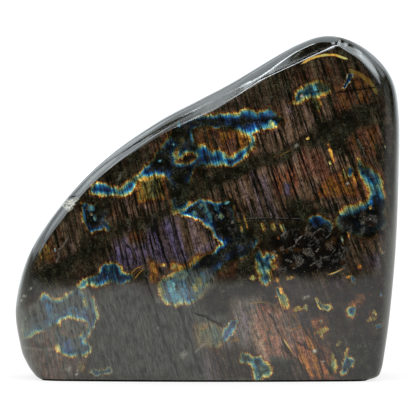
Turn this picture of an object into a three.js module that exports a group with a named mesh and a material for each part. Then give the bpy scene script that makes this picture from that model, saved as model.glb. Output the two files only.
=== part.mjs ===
// A labradorite freeform: one piece of stone, sawn and polished all over, and ground
// flat underneath so that it stands on its own.
// Millimetres. +X runs along the stone, +Y from the show face to the back, +Z up.
// The origin is on the resting surface, under the middle of the stone.
import * as THREE from "three";
import { mergeVertices } from "three/addons/utils/BufferGeometryUtils.js";

// The outline seen from the front, anticlockwise from the lower left corner.
// Each knot is x, z, and how far the rounded edge reaches in from the outline there.
const OUTLINE_KNOTS = [
  [-67.9, 2.5, 5],
  [-65.3, 0.75, 2],
  [-61, 0.05, 0.8],
  [-40, 0, 0.7],
  [0, 0, 0.7],
  [40, 0, 0.7],
  [60.5, 0.02, 0.8],
  [64.6, 0.6, 1.5],
  [68.3, 1.8, 2.5],
  [69.8, 4.2, 4],
  [71, 9.6, 5.5],
  [73.4, 26, 8],
  [75.8, 52, 10],
  [77, 80, 11],
  [77.2, 103, 11],
  [74.3, 119.2, 9],
  [64.5, 130.6, 6.5],
  [50.9, 136.2, 3],
  [36.4, 132.5, 2.4],
  [10.2, 117.2, 5.6],
  [-1.8, 110.9, 6.4],
  [-19.2, 101.7, 5],
  [-41.2, 86.1, 4.2],
  [-57.2, 69, 4.2],
  [-69.8, 49.6, 5],
  [-75.3, 29, 10],
  [-73.6, 13, 12],
  [-71, 6.6, 9],
];
const BASE_SHARE = 0.294; // share of the outline from the lower left to the lower right corner
const HUB = { x: 8, z: 57 }; // every ring of the surface mesh shrinks towards this point
const HEIGHT = 136.5;
const HALF_WIDTH = 76.5;

// Depth of each polished face from the middle plane of the slab.
const FRONT = { base: 24, top: 16, crown: 5, edgeReach: 1, edgeDrop: 0.9 };
const BACK = { base: 24, top: 13, crown: 8, edgeReach: 1.7, edgeDrop: 1.2 };
const LEAN_POWER = 2; // how late the faces start to close towards the top
const TWIST = 0.12; // how much more the faces close at the left end than at the right
const MOST_DROP = 0.8; // share of the depth that the rounded edge may take up

// A tight edge turns sharply where it meets the face, and a wide one is a quarter circle.
const EDGE_REACH = [4.5, 6.2];
const EDGE_POWER = [1.4, 2];

// The narrow flat polished across the top edge of the show face, to the right.
// It narrows beyond its far end, and runs out softly at both ends.
const FACET = { x: 36, z: 125.6, rise: 22.5, slope: 1, farEnd: 51, narrowing: 0.4 };
const BLEND_X = [4, 24, 46, 53];
const BLEND = [5, 0.55, 0.55, 1.6];

// Mesh density: squares across each face, rows over the side wall, and the share of the
// rings that are kept for the rounded edge.
const SQUARES_ACROSS = 32;
const WALL_ROWS = 5;
const EDGE_SHARE = 0.3;

const outline = new THREE.CatmullRomCurve3(
  OUTLINE_KNOTS.map(([x, z, reach]) => new THREE.Vector3(x, z, reach)),
  true,
  "catmullrom",
  0.5,
);
outline.arcLengthDivisions = 2000;

// A point of the outline at a share of the way round it. The base is ground off at z = 0.
function outlinePoint(share) {
  const point = outline.getPointAt(((share % 1) + 1) % 1);
  return { x: point.x, z: Math.max(point.y, 0), reach: point.z };
}

// The outline's outward direction, from its two neighbours a little way off.
function outlineNormal(share) {
  const step = 0.0005;
  const before = outlinePoint(share - step);
  const after = outlinePoint(share + step);
  return new THREE.Vector2(after.z - before.z, before.x - after.x).normalize();
}

// Reads a value off a row of values, each given at its own place.
function readOff(place, places, values) {
  const next = places.findIndex((other) => other > place);
  if (next === 0) return values[0];
  if (next < 0) return values[values.length - 1];
  const part = (place - places[next - 1]) / (places[next] - places[next - 1]);
  return THREE.MathUtils.lerp(values[next - 1], values[next], part);
}

// The smaller of two depths, with a small radius where they meet.
function smoothLess(a, b, blend) {
  const mix = THREE.MathUtils.clamp(0.5 + (0.5 * (b - a)) / blend, 0, 1);
  return b + (a - b) * mix - blend * mix * (1 - mix);
}

// Depth of the open face at a place: full at the base, closing towards the top, crowned.
function openDepth(face, x, z) {
  const across = (x - HUB.x) / HALF_WIDTH;
  const closing = (face.base - face.top) * Math.pow(z / HEIGHT, LEAN_POWER);
  return face.base - closing * (1 - TWIST * across) - face.crown * across * across;
}

// The same with the facet cut across the show face.
function cutDepth(face, x, z) {
  const open = openDepth(face, x, z);
  if (face !== FRONT) return open;
  const rise = THREE.MathUtils.degToRad(FACET.rise);
  const above = (z - FACET.z) * Math.cos(rise) - (x - FACET.x) * Math.sin(rise);
  const narrowed = FACET.narrowing * Math.pow(Math.max(x - FACET.farEnd, 0), 2);
  const hinge = openDepth(face, x, FACET.z);
  const flat = hinge - FACET.slope * (above - narrowed);
  return smoothLess(open, flat, readOff(x, BLEND_X, BLEND));
}

// Depth of the face at a place and an inset from the outline, with its rounded edge.
function faceDepth(face, x, z, inset, reach) {
  const cut = cutDepth(face, x, z);
  const drop = Math.min(reach * face.edgeDrop, cut * MOST_DROP);
  const turn = Math.max(1 - inset / reach, 0);
  const power = readOff(reach, EDGE_REACH, EDGE_POWER);
  return cut - drop * (1 - Math.pow(1 - Math.pow(turn, power), 1 / power));
}

// Inset of a mesh ring: an even turn round the edge first, then even steps to the hub.
// ring is 1 at the outline and 0 at the hub, and reachOut is the hub's own inset.
function ringInset(ring, reach, reachOut) {
  const edgeStart = 1 - EDGE_SHARE;
  if (ring >= edgeStart) {
    const angle = ((1 - ring) / EDGE_SHARE) * (Math.PI / 2);
    return reach * (1 - Math.cos(angle));
  }
  return reach + (reachOut - reach) * (1 - ring / edgeStart);
}

// A point of one face. share runs round the outline, ring from the hub out to it.
function facePoint(face, share, ring) {
  const rim = outlinePoint(share);
  const normal = outlineNormal(share);
  const reach = rim.reach * face.edgeReach;
  const reachOut = (rim.x - HUB.x) * normal.x + (rim.z - HUB.z) * normal.y;
  const inset = ringInset(ring, reach, reachOut);
  const scale = 1 - inset / reachOut;
  const x = HUB.x + scale * (rim.x - HUB.x);
  const z = HUB.z + scale * (rim.z - HUB.z);
  return { x, z, depth: faceDepth(face, x, z, inset, reach) };
}

// Sides of a square walked anticlockwise from its lower left corner, from 0 to 4.
function sidesWalked(u, v) {
  const ring = Math.max(Math.abs(u), Math.abs(v));
  if (ring === 0) return 0;
  if (v === -ring) return (u / ring + 1) / 2;
  if (u === ring) return 1 + (v / ring + 1) / 2;
  if (v === ring) return 2 + (1 - u / ring) / 2;
  return 3 + (1 - v / ring) / 2;
}

// The square's lower side lies along the base, corner to corner, and the other three
// sides share the rest of the outline.
function outlineShare(walked) {
  if (walked < 1) return walked * BASE_SHARE;
  return BASE_SHARE + ((walked - 1) / 3) * (1 - BASE_SHARE);
}

// Moves a point of the blank, a box from -1 to 1 each way, onto the stone.
function stonePoint(blank) {
  const ring = Math.max(Math.abs(blank.x), Math.abs(blank.z));
  const share = outlineShare(sidesWalked(blank.x, blank.z));
  const front = facePoint(FRONT, share, ring);
  const back = facePoint(BACK, share, ring);
  if (blank.y === -1) return new THREE.Vector3(front.x, -front.depth, front.z);
  if (blank.y === 1) return new THREE.Vector3(back.x, back.depth, back.z);
  const y = THREE.MathUtils.lerp(-front.depth, back.depth, (blank.y + 1) / 2);
  return new THREE.Vector3(front.x, y, front.z);
}

// Splits each square of the moved blank along the diagonal that stands further out, so
// that the flat triangles bulge the way the polished surface does.
function splitOutward(geometry) {
  const position = geometry.getAttribute("position");
  const index = geometry.getIndex();
  for (let i = 0; i < index.count; i += 6) {
    const [a, b, d, c] = [0, 1, 2, 4].map((step) => index.getX(i + step));
    const [pa, pb, pc, pd] = [a, b, c, d].map((corner) =>
      new THREE.Vector3().fromBufferAttribute(position, corner),
    );
    const acrossAC = pc.clone().sub(pa);
    const acrossBD = pd.clone().sub(pb);
    const outward = acrossAC.cross(acrossBD);
    const gap = pa.clone().add(pc).sub(pb).sub(pd);
    const corners = gap.dot(outward) > 0 ? [a, b, c, a, c, d] : [a, b, d, b, c, d];
    corners.forEach((corner, step) => index.setX(i + step, corner));
  }
}

// The stone's surface: a box blank with squared faces, moved onto the stone point by point.
function stoneGeometry() {
  const blank = new THREE.BoxGeometry(
    2, 2, 2, SQUARES_ACROSS, WALL_ROWS, SQUARES_ACROSS,
  );
  blank.deleteAttribute("normal");
  blank.deleteAttribute("uv");
  const geometry = mergeVertices(blank);
  const position = geometry.getAttribute("position");
  for (let i = 0; i < position.count; i++) {
    const blankPoint = new THREE.Vector3().fromBufferAttribute(position, i);
    position.setXYZ(i, ...stonePoint(blankPoint).toArray());
  }
  splitOutward(geometry);
  geometry.computeBoundingBox();
  const middle = geometry.boundingBox.getCenter(new THREE.Vector3());
  geometry.translate(-middle.x, -middle.y, -geometry.boundingBox.min.z);
  geometry.computeVertexNormals();
  return geometry;
}

const polishedStone = new THREE.MeshStandardMaterial({
  color: 0x2e2a24,
  roughness: 0.12,
  metalness: 0,
});

const stone = new THREE.Mesh(stoneGeometry(), polishedStone);
stone.name = "labradorite_stone";

const group = new THREE.Group();
group.add(stone);

export default group;
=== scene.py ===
import math

import bpy
import numpy as np
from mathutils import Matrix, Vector


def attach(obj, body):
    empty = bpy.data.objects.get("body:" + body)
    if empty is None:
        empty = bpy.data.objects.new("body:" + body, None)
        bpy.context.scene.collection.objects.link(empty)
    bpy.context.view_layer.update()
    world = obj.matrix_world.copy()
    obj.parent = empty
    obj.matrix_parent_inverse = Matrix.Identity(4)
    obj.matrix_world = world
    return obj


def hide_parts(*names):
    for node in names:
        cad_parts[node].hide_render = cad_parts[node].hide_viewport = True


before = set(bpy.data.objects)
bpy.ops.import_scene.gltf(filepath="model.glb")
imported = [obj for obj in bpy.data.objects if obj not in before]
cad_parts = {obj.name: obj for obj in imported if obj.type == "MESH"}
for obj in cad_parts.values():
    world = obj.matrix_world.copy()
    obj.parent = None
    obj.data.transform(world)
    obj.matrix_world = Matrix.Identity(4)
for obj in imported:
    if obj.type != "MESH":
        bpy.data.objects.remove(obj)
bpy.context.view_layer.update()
mm = 0.001
print("frame loaded")

shot = {
    "centre": (0.2, 0.0, 67.55),  # what the camera looks at, mm
    "distance": 1500.0,  # mm
    "elevation": 3.0,  # degrees above level
    "frameWidth": 166.4,  # mm across the picture, at the object
    "sensor": 36.0,  # mm
}


def addCamera(look):
    camera = bpy.data.objects.new("camera", bpy.data.cameras.new("camera"))
    bpy.context.scene.collection.objects.link(camera)
    tilt = math.radians(look["elevation"])
    x, y, z = look["centre"]
    back = look["distance"] * math.cos(tilt)
    up = look["distance"] * math.sin(tilt)
    camera.location = Vector((x, y - back, z + up)) * mm
    camera.rotation_euler = (math.pi / 2 - tilt, 0, 0)
    camera.data.sensor_width = look["sensor"]
    camera.data.lens = look["sensor"] * look["distance"] / look["frameWidth"]
    camera.data.clip_start = 0.01
    bpy.context.scene.camera = camera


studio = {
    "sky": 1.17,  # even white light from all round, kept out of the polish
    "floorColor": (0.3, 0.3, 0.3, 1),
    "floorGlow": 0.73,  # the floor is a sheet lit from below
    "floorHalf": 6.0,  # m
    "boxColor": (0.87, 0.955, 1.0),
    # name, place and aim in m, width and height in m, brightness
    "softboxes": [
        ("overheadFar", (-2.1, -0.52, 1.18), (-2.1, 0, 0.09), 0.9, 1.5, 2.86),
        ("overheadLeft", (-1.25, -0.52, 1.18), (-1.25, 0, 0.09), 0.8, 1.5, 4.52),
        ("overheadWedge", (-0.79, -0.66, 1.1), (-0.79, 0, 0.09), 0.14, 1.15, 6.2),
        ("overheadGap", (-0.62, -0.66, 1.1), (-0.62, 0, 0.09), 0.22, 1.15, 1.4),
        ("overheadBox", (0.77, -0.66, 1.1), (0.77, 0, 0.09), 1.64, 1.15, 5),
        ("curlStrip", (0.08, 0.02, 1.26), (0.08, 0, 0.09), 0.4, 0.58, 7.4),
        ("curlSide", (0.5, -0.35, 1.2), (0.5, 0, 0.09), 0.24, 1.1, 5.5),
        ("bandBox", (0.94, -0.4, 1.2), (0.94, 0, 0.09), 0.26, 0.9, 5),
        ("facetBox", (-0.465, -0.06, 1.14), (-0.465, 0, 0.09), 0.26, 0.14, 2.9),
        ("wedgeBox", (-0.42, -0.05, 1.14), (-0.42, 0, 0.09), 0.1, 0.9, 8),
        ("keyStrip", (-0.115, -0.74, 0.98), (-0.115, 0, 0.12), 0.73, 0.22, 19),
        ("zenithStrip", (-0.46, 0.3, 1.26), (-0.46, 0, 0.09), 0.3, 0.16, 11.9),
        ("backTop", (0, 0.72, 1.2), (0, 0, 0.09), 3.2, 0.8, 2.02),
        ("backdropBox", (0, 1.8, 0.95), (0, 0, 0.95), 4.4, 1.9, 0.89),
        ("leftPanel", (-1.1, 0.32, 0.88), (0, 0, 0.09), 1.5, 0.9, 2.2),
        ("leftWing", (-0.95, 0.75, 0.3), (0, 0, 0.09), 0.9, 0.7, 1.55),
        ("shoulderBox", (0.98, -0.66, 0.92), (0, 0, 0.12), 0.6, 0.4, 4.28),
        ("rightTop", (1.0, 0.06, 1.0), (0, 0, 0.12), 0.5, 0.75, 2.26),
        ("rightPanel", (0.95, 0.95, 0.5), (0, 0, 0.09), 1.1, 1.2, 0.95),
        ("rightWing", (1.2, -0.2, 0.3), (0, 0, 0.09), 0.6, 0.5, 0.42),
    ],
}


def addSoftbox(color, name, place, aim, width, height, brightness):
    light = bpy.data.lights.new(name, "AREA")
    light.color = color
    light.shape = "RECTANGLE"
    light.size = width
    light.size_y = height
    light.energy = brightness * math.pi * width * height
    box = bpy.data.objects.new(name, light)
    bpy.context.scene.collection.objects.link(box)
    box.location = place
    way = Vector(aim) - Vector(place)
    box.rotation_euler = way.to_track_quat("-Z", "Y").to_euler()
    box.visible_camera = False
    box.visible_diffuse = False  # it only shows in the polish


def addStudio(setup):
    world = bpy.data.worlds.new("studio")
    world.use_nodes = True
    background = world.node_tree.nodes["Background"]
    background.inputs["Color"].default_value = (1, 1, 1, 1)
    background.inputs["Strength"].default_value = setup["sky"]
    world.cycles_visibility.glossy = False
    bpy.context.scene.world = world

    half = setup["floorHalf"]
    corners = [(-half, -half, 0), (half, -half, 0), (half, half, 0), (-half, half, 0)]
    mesh = bpy.data.meshes.new("floor")
    mesh.from_pydata(corners, [], [(0, 1, 2, 3)])
    floor = bpy.data.objects.new("floor", mesh)
    bpy.context.scene.collection.objects.link(floor)
    paper = bpy.data.materials.new("paleFloor")
    paper.use_nodes = True
    shader = paper.node_tree.nodes["Principled BSDF"]
    shader.inputs["Base Color"].default_value = setup["floorColor"]
    shader.inputs["Roughness"].default_value = 1.0
    shader.inputs["Specular IOR Level"].default_value = 0.0
    shader.inputs["Emission Color"].default_value = (1, 1, 1, 1)
    shader.inputs["Emission Strength"].default_value = setup["floorGlow"]
    mesh.materials.append(paper)

    for softbox in setup["softboxes"]:
        addSoftbox(setup["boxColor"], *softbox)


addCamera(shot)
addStudio(studio)
bpy.context.scene.view_settings.view_transform = "Standard"
print("camera and light set")

# The stone's shape. Lengths are in mm until the mesh is made.
stoneShape = {
    # x, z and the reach of the rounded edge, anticlockwise from the lower left corner
    "outline": [
        (-67.9, 2.5, 5), (-65.3, 0.75, 2), (-61, 0.05, 0.8), (-40, 0, 0.7),
        (0, 0, 0.7), (40, 0, 0.7), (60.5, 0.02, 0.8), (64.6, 0.6, 1.5),
        (68.3, 1.8, 2.5), (69.8, 4.2, 4), (71, 9.6, 5.5), (73.4, 26, 8),
        (75.8, 52, 10), (77.0, 80, 11), (77.2, 103, 11), (74.3, 119.2, 9),
        (64.5, 130.6, 6.5), (50.9, 136.2, 3.0), (36.4, 132.5, 2.4), (10.2, 117.2, 5.6),
        (-1.8, 110.9, 6.4), (-19.2, 101.7, 5.0), (-41.2, 86.1, 4.2), (-57.2, 69.0, 4.2),
        (-69.8, 49.6, 5), (-75.3, 29, 10), (-73.6, 13, 12), (-71, 6.6, 9),
    ],
    "rimLength": 440,  # mm round the outline
    "baseShare": 0.294,  # share of the outline along the base
    "hub": (8, 57),  # x and z from which both faces are laid out
    "height": 136.5,
    "halfWidth": 76.5,
    "leanPower": 2,  # how late the faces lean in towards the top
    "twist": 0.12,  # they lean less towards the right
    "mostDrop": 0.8,  # the rounded edge takes at most this share of the thickness
    "edgePower": (1.4, 2.0),  # 1 is a flat chamfer, 2 a round edge
    "edgePowerReach": (4.5, 6.2),  # reaches at which the edge has these powers
    # half thickness at base and top, bulge, and how far the rounded edge reaches in and
    # drops, as shares of the reach above
    "front": {"base": 24, "top": 16, "crown": 5, "edgeReach": 1, "edgeDrop": 0.9},
    "back": {"base": 24, "top": 13, "crown": 8, "edgeReach": 1.7, "edgeDrop": 1.2},
    "facet": {
        "x": 36,  # a point on its lower edge
        "z": 125.6,
        "rise": 22.5,  # degrees that its lower edge climbs to the right
        "slope": 1,  # depth cut away per mm above that edge
        "to": 51,  # x where it begins to close
        "closing": 0.4,  # how fast it narrows beyond that
        "blend": (5.0, 0.55, 0.55, 1.6),  # softness of its edge at each x of blendX
        "blendX": (4, 24, 46, 53),
    },
    "frontSquares": 256,
    "backSquares": 128,
    "wallRows": 6,
    "edgeShare": 0.11,  # share of the rings kept for the rounded edge
}


def outlineTable(knots, steps=2000):
    # the closed smooth curve through the knots, found by the share of its length
    knots = np.array(knots, float)
    count = len(knots)

    def at(place):
        first = np.floor(place).astype(int)
        part = (place - first)[:, None]
        before, start, end, after = (knots[(first + k) % count] for k in (-1, 0, 1, 2))
        leave = (end - before) * 0.5
        arrive = (after - start) * 0.5
        square = -3 * start + 3 * end - 2 * leave - arrive
        cube = 2 * start - 2 * end + leave + arrive
        return start + leave * part + square * part**2 + cube * part**3

    places = np.linspace(0, count, steps + 1)
    points = at(places)
    lengths = np.linalg.norm(np.diff(points, axis=0), axis=1)
    along = np.concatenate([[0], np.cumsum(lengths)])

    def atShare(share):
        point = at(np.interp((share % 1) * along[-1], along, places))
        point[:, 1] = np.maximum(point[:, 1], 0)  # the base is ground off flat
        return point

    return atShare


outlineAt = outlineTable(stoneShape["outline"])


def outlineNormal(share):
    nudge = 0.0005
    before = outlineAt(share - nudge)
    after = outlineAt(share + nudge)
    way = np.stack([after[:, 1] - before[:, 1], before[:, 0] - after[:, 0]], axis=1)
    return way / np.linalg.norm(way, axis=1)[:, None]


def openDepth(face, x, z):
    # half thickness before the facet is cut and the edge is rounded
    across = (x - stoneShape["hub"][0]) / stoneShape["halfWidth"]
    lean = (np.maximum(z, 0) / stoneShape["height"]) ** stoneShape["leanPower"]
    closing = (face["base"] - face["top"]) * lean
    twisted = closing * (1 - stoneShape["twist"] * across)
    return face["base"] - twisted - face["crown"] * across**2


def cutDepth(face, x, z):
    depth = openDepth(face, x, z)
    if face is not stoneShape["front"]:
        return depth
    facet = stoneShape["facet"]
    rise = math.radians(facet["rise"])
    above = (z - facet["z"]) * math.cos(rise) - (x - facet["x"]) * math.sin(rise)
    hinge = openDepth(face, x, facet["z"] + 0 * z)
    beyond = np.maximum(x - facet["to"], 0) ** 2
    flat = hinge - facet["slope"] * (above - facet["closing"] * beyond)
    blend = np.interp(x, facet["blendX"], facet["blend"])
    mix = np.clip(0.5 + 0.5 * (flat - depth) / blend, 0, 1)
    return flat + (depth - flat) * mix - blend * mix * (1 - mix)


def faceDepth(face, x, z, inset, reach):
    cut = cutDepth(face, x, z)
    drop = np.minimum(reach * face["edgeDrop"], cut * stoneShape["mostDrop"])
    turn = np.clip(1 - inset / reach, 0, 1)
    power = np.interp(reach, stoneShape["edgePowerReach"], stoneShape["edgePower"])
    return cut - drop * (1 - (1 - turn**power) ** (1 / power))


def facePoints(face, share, ring):
    # points of one face: share runs round the outline, ring from the hub out to it
    rim = outlineAt(share)
    normal = outlineNormal(share)
    hub = np.array(stoneShape["hub"], float)
    reach = rim[:, 2] * face["edgeReach"]
    reachOut = ((rim[:, :2] - hub) * normal).sum(axis=1)
    edge = stoneShape["edgeShare"]
    turning = reach * (1 - np.cos((1 - ring) / edge * math.pi / 2))
    level = reach + (reachOut - reach) * (1 - ring / (1 - edge))
    inset = np.where(ring >= 1 - edge, turning, level)
    scale = (1 - inset / reachOut)[:, None]
    place = hub + scale * (rim[:, :2] - hub)
    depth = faceDepth(face, place[:, 0], place[:, 1], inset, reach)
    turn = np.clip(1 - inset / reach, 0, 1)
    cut = openDepth(face, place[:, 0], place[:, 1]) - cutDepth(face, place[:, 0], place[:, 1])
    turn = np.maximum(turn, step(cut, 0.25, 1.2))
    return place[:, 0], place[:, 1], depth, turn


def gridShares(squares):
    # share round the outline and ring of every corner of a square grid
    line = np.linspace(-1, 1, squares + 1)
    u, v = (part.ravel() for part in np.meshgrid(line, line))
    ring = np.maximum(abs(u), abs(v))
    safe = np.maximum(ring, 1e-9)
    walked = np.where(
        v == -ring,
        (u / safe + 1) / 2,
        np.where(
            u == ring,
            1 + (v / safe + 1) / 2,
            np.where(v == ring, 2 + (1 - u / safe) / 2, 3 + (1 - v / safe) / 2),
        ),
    )
    base = stoneShape["baseShare"]
    share = np.where(walked < 1, walked * base, base + (walked - 1) / 3 * (1 - base))
    return np.where(ring == 0, 0, share), ring


def rimOrder(squares):
    # grid corners along the edge of the square, anticlockwise from the lower left
    steps = np.arange(squares)
    row = squares + 1
    low = steps
    right = squares + steps * row
    top = squares * row + squares - steps
    left = (squares - steps) * row
    return np.concatenate([low, right, top, left])


def latticeNoise(points, size, seed):
    # smooth noise from -1 to 1 that changes over about `size` mm, the same on each run
    cell = np.floor(points / size).astype(np.int64)
    part = points / size - cell
    part = part * part * (3 - 2 * part)
    total = np.zeros(len(points))
    for corner in range(8):
        offset = np.array([corner & 1, corner >> 1 & 1, corner >> 2 & 1])
        at = cell + offset
        # mixes the corner and the seed into a number that looks random
        key = at[:, 0] * 73856093 ^ at[:, 1] * 19349663 ^ at[:, 2] * 83492791
        key = (key ^ seed * 2654435761) & 0xFFFFFFFF
        key = (key ^ key >> 15) * 2246822519 & 0xFFFFFFFF
        key = (key ^ key >> 13) * 3266489917 & 0xFFFFFFFF
        value = ((key ^ key >> 16) & 0xFFFF) / 32767.5 - 1
        share = np.where(offset == 1, part, 1 - part).prod(axis=1)
        total += value * share
    return total


def cloudNoise(points, size, seed, layers=3):
    # finer and fainter layers of the same noise added up
    total = np.zeros(len(points))
    for layer in range(layers):
        total += latticeNoise(points, size / 2**layer, seed + layer * 17) / 2**layer
    return total / (2 - 1 / 2 ** (layers - 1))


# What can be seen in the stone, drawn on the show face in mm (x, z).
# "order" picks a colour from the flash scale and "flash" is how strongly it glows.
grain = {
    "tilt": 17.0,  # degrees that the fine plates lean to the left
    "fan": 0.0016,  # how much more they lean towards the right, per mm
    "drawnScale": 1.013,  # the drawing is this much bigger than the stone
    "drawnDepth": (-14, -9),  # between these depths it gives way to the body's markings
    "order": 0.76,  # order and flash where no area is drawn
    "flash": 0.26,
    "broadWander": (1.6, 8, 3),  # how far areas wander, over what length, in how many layers
    "fineWander": (0.3, 3, 2),  # the same for basins, cracks and scratches
    "openUp": 1.5,  # the basins open upwards by this much
}

# broad areas: outline, order, flash, and how softly they end
areas = [
    ([(-78, 52), (-56, 48), (-36, 60), (-28, 84), (-6, 104), (-20, 112), (-60, 80)], 0.74, 0.1, 6),
    ([(-60, 47), (-48, 50), (-46, 66), (-54, 68), (-64, 56)], 0.77, 0.55, 3),
    ([(-68, 46), (-60, 48), (-62, 57), (-68, 54)], 0.5, 0.16, 3),
    ([(-37, 64), (-27, 65), (-18, 70), (-15, 76), (-16, 82), (-26, 81), (-36, 73)], 0.77, 0.95, 3),
    ([(-27, 72), (-16, 73), (-15.5, 82.5), (-20, 83), (-27, 81)], 0.45, 0.22, 2),
    ([(-24, 92), (-12, 90), (-9, 104), (-20, 102)], 0.68, 0.35, 3),
    ([(-4, 93), (4, 92), (4, 103), (-5, 103)], 0.6, 0.25, 2),
    ([(5, 95), (12, 92), (19, 96), (17, 100), (6, 101)], 0.56, 0.5, 1.5),
    ([(7, 91), (11, 90), (14, 94), (12, 97), (8, 97)], 0.7, 0.9, 1),
    (
        [
            (0, 76), (14, 82), (22, 90), (20, 100), (32, 112), (46, 108), (60, 100), (70, 84), (62, 70),
            (45, 66), (20, 66), (2, 75),
        ],
        0.77, 0.88, 4,
    ),
    ([(20, 66), (30, 66), (26, 82), (18, 84)], 0.88, 0.75, 3),
    ([(28, 75), (37, 76), (36, 87), (28, 86)], 0.65, 0.95, 2),
    ([(30.5, 74.5), (33.5, 75), (34, 80), (31, 80.5)], 0.93, 1, 1),
    ([(22, 101), (46, 98), (48, 110), (34, 112), (22, 108)], 0.79, 1, 4),
    ([(20, 109), (34, 113), (48, 121), (34, 126), (14, 116)], 0.76, 0.3, 3),
    ([(34, 114), (60, 112), (58, 126), (46, 130), (30, 124)], 0.68, 0.3, 3),
    ([(36, 82), (50, 80), (51, 91), (38, 92)], 0.68, 0.95, 3),
    ([(43, 73.5), (64, 74.5), (62, 79), (53, 84), (46, 78)], 0.57, 0.45, 1.5),
    ([(42, 66), (52, 65), (56, 71), (43, 72.5)], 0.78, 0.75, 1.5),
    ([(59, 123.5), (63, 124), (67, 121), (67, 112), (61, 112)], 0.58, 0.25, 2),
    ([(50, 108), (60, 108), (60, 121), (50, 119)], 0.63, 0.4, 3),
    ([(55, 92), (68, 88), (72, 104), (60, 104)], 0.62, 0.4, 3),
    ([(-42, 46), (-30, 45), (-8, 44), (6, 55), (-2, 65), (-13, 68), (-22, 64), (-34, 57)], 0.93, 0.78, 3),
    ([(-8, 52), (4, 55), (-2, 64), (-12, 66), (-10, 58)], 0.8, 0.7, 2),
    ([(-30, 55), (-24, 56), (-24, 62), (-30, 62)], 0.62, 0.5, 2),
    ([(-15, 44), (-6, 45), (2, 50), (-2, 52), (-9, 48), (-14, 48)], 0.48, 0.7, 1.5),
    ([(-23, 40), (-18.5, 39), (-18, 47), (-22, 50)], 0.48, 0.55, 1.5),
    ([(-42, 33), (-30, 33), (-24, 38), (-32, 40), (-42, 37)], 0.86, 0.28, 3),
    ([(-76, 0), (-60, 0), (-48, 8), (-58, 22), (-74, 16)], 0.72, 0.75, 3),
    ([(-72, 2), (-60, 1), (-58, 8), (-70, 10)], 0.68, 0.55, 3),
    ([(-74, 34), (-60, 46), (-52, 44), (-54, 37), (-66, 34)], 0.74, 0.16, 3),
    ([(-72, 27), (-66, 33), (-74, 36)], 0.76, 0.5, 2),
    ([(-44, 0), (0, 0), (0, 30), (-18, 32), (-30, 38), (-42, 34), (-46, 12)], 0.84, 0.06, 3),
    ([(0, 0), (8, 0), (6, 14), (-1, 12)], 0.85, 0.75, 3),
    ([(-4, 15), (4, 12), (8, 16), (13, 20), (6, 23), (2, 27), (-5, 24)], 0.42, 0.17, 3),
    ([(-1, 24), (6, 24), (14, 32), (26, 38), (40, 41), (12, 42), (4, 40), (0, 34)], 0.7, 0.05, 2),
    ([(11, 33), (22, 34), (21, 22), (17, 13), (9, 19)], 0.82, 0.95, 2.5),
    ([(22, 8), (31, 7), (38, 13), (40, 21), (38, 27.5), (30, 32), (21, 32), (17.5, 22)], 0.66, 1.75, 2.5),
    ([(30, 22), (36, 22), (38, 30), (32, 30)], 0.66, 0.8, 2),
    ([(35, 14), (41, 21), (46, 15), (52, 7), (51, 1), (42, 1), (37, 8)], 0.6, 1.35, 1.5),
    ([(45, 13), (50, 16), (50, 8), (47, 8)], 0.68, 0.9, 2),
    ([(35, 22), (42, 22), (41, 29), (36, 28)], 0.88, 0.4, 2),
    ([(26, 0), (38, 0), (35, 7), (30, 10), (25, 11)], 0.8, 0.08, 1.5),
    ([(34, 33), (44, 32), (50, 36), (50, 43), (40, 41), (34, 38)], 0.78, 0.55, 1.5),
    ([(43, 19), (50, 19), (49, 27), (43, 27)], 0.62, 0.6, 1.5),
    ([(57, 30), (64, 29), (65, 35), (59, 36)], 0.58, 0.7, 1.5),
    ([(38, 6), (43, 0), (34, 0), (33, 8)], 0.78, 0.5, 2),
    ([(58, 0), (72, 0), (73, 20), (58, 20)], 0.8, 0.04, 3),
    ([(58, 46), (70, 45), (71, 58), (60, 58)], 0.74, 0.45, 3),
    ([(63, 45), (70, 45), (70, 51), (63, 52)], 0.9, 0.55, 2),
    ([(49, 38), (56, 38), (56, 43), (50, 43)], 0.87, 0.6, 1.5),
    ([(4, 42), (12, 42), (14, 48), (6, 45)], 0.62, 0.3, 1.5),
]

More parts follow.
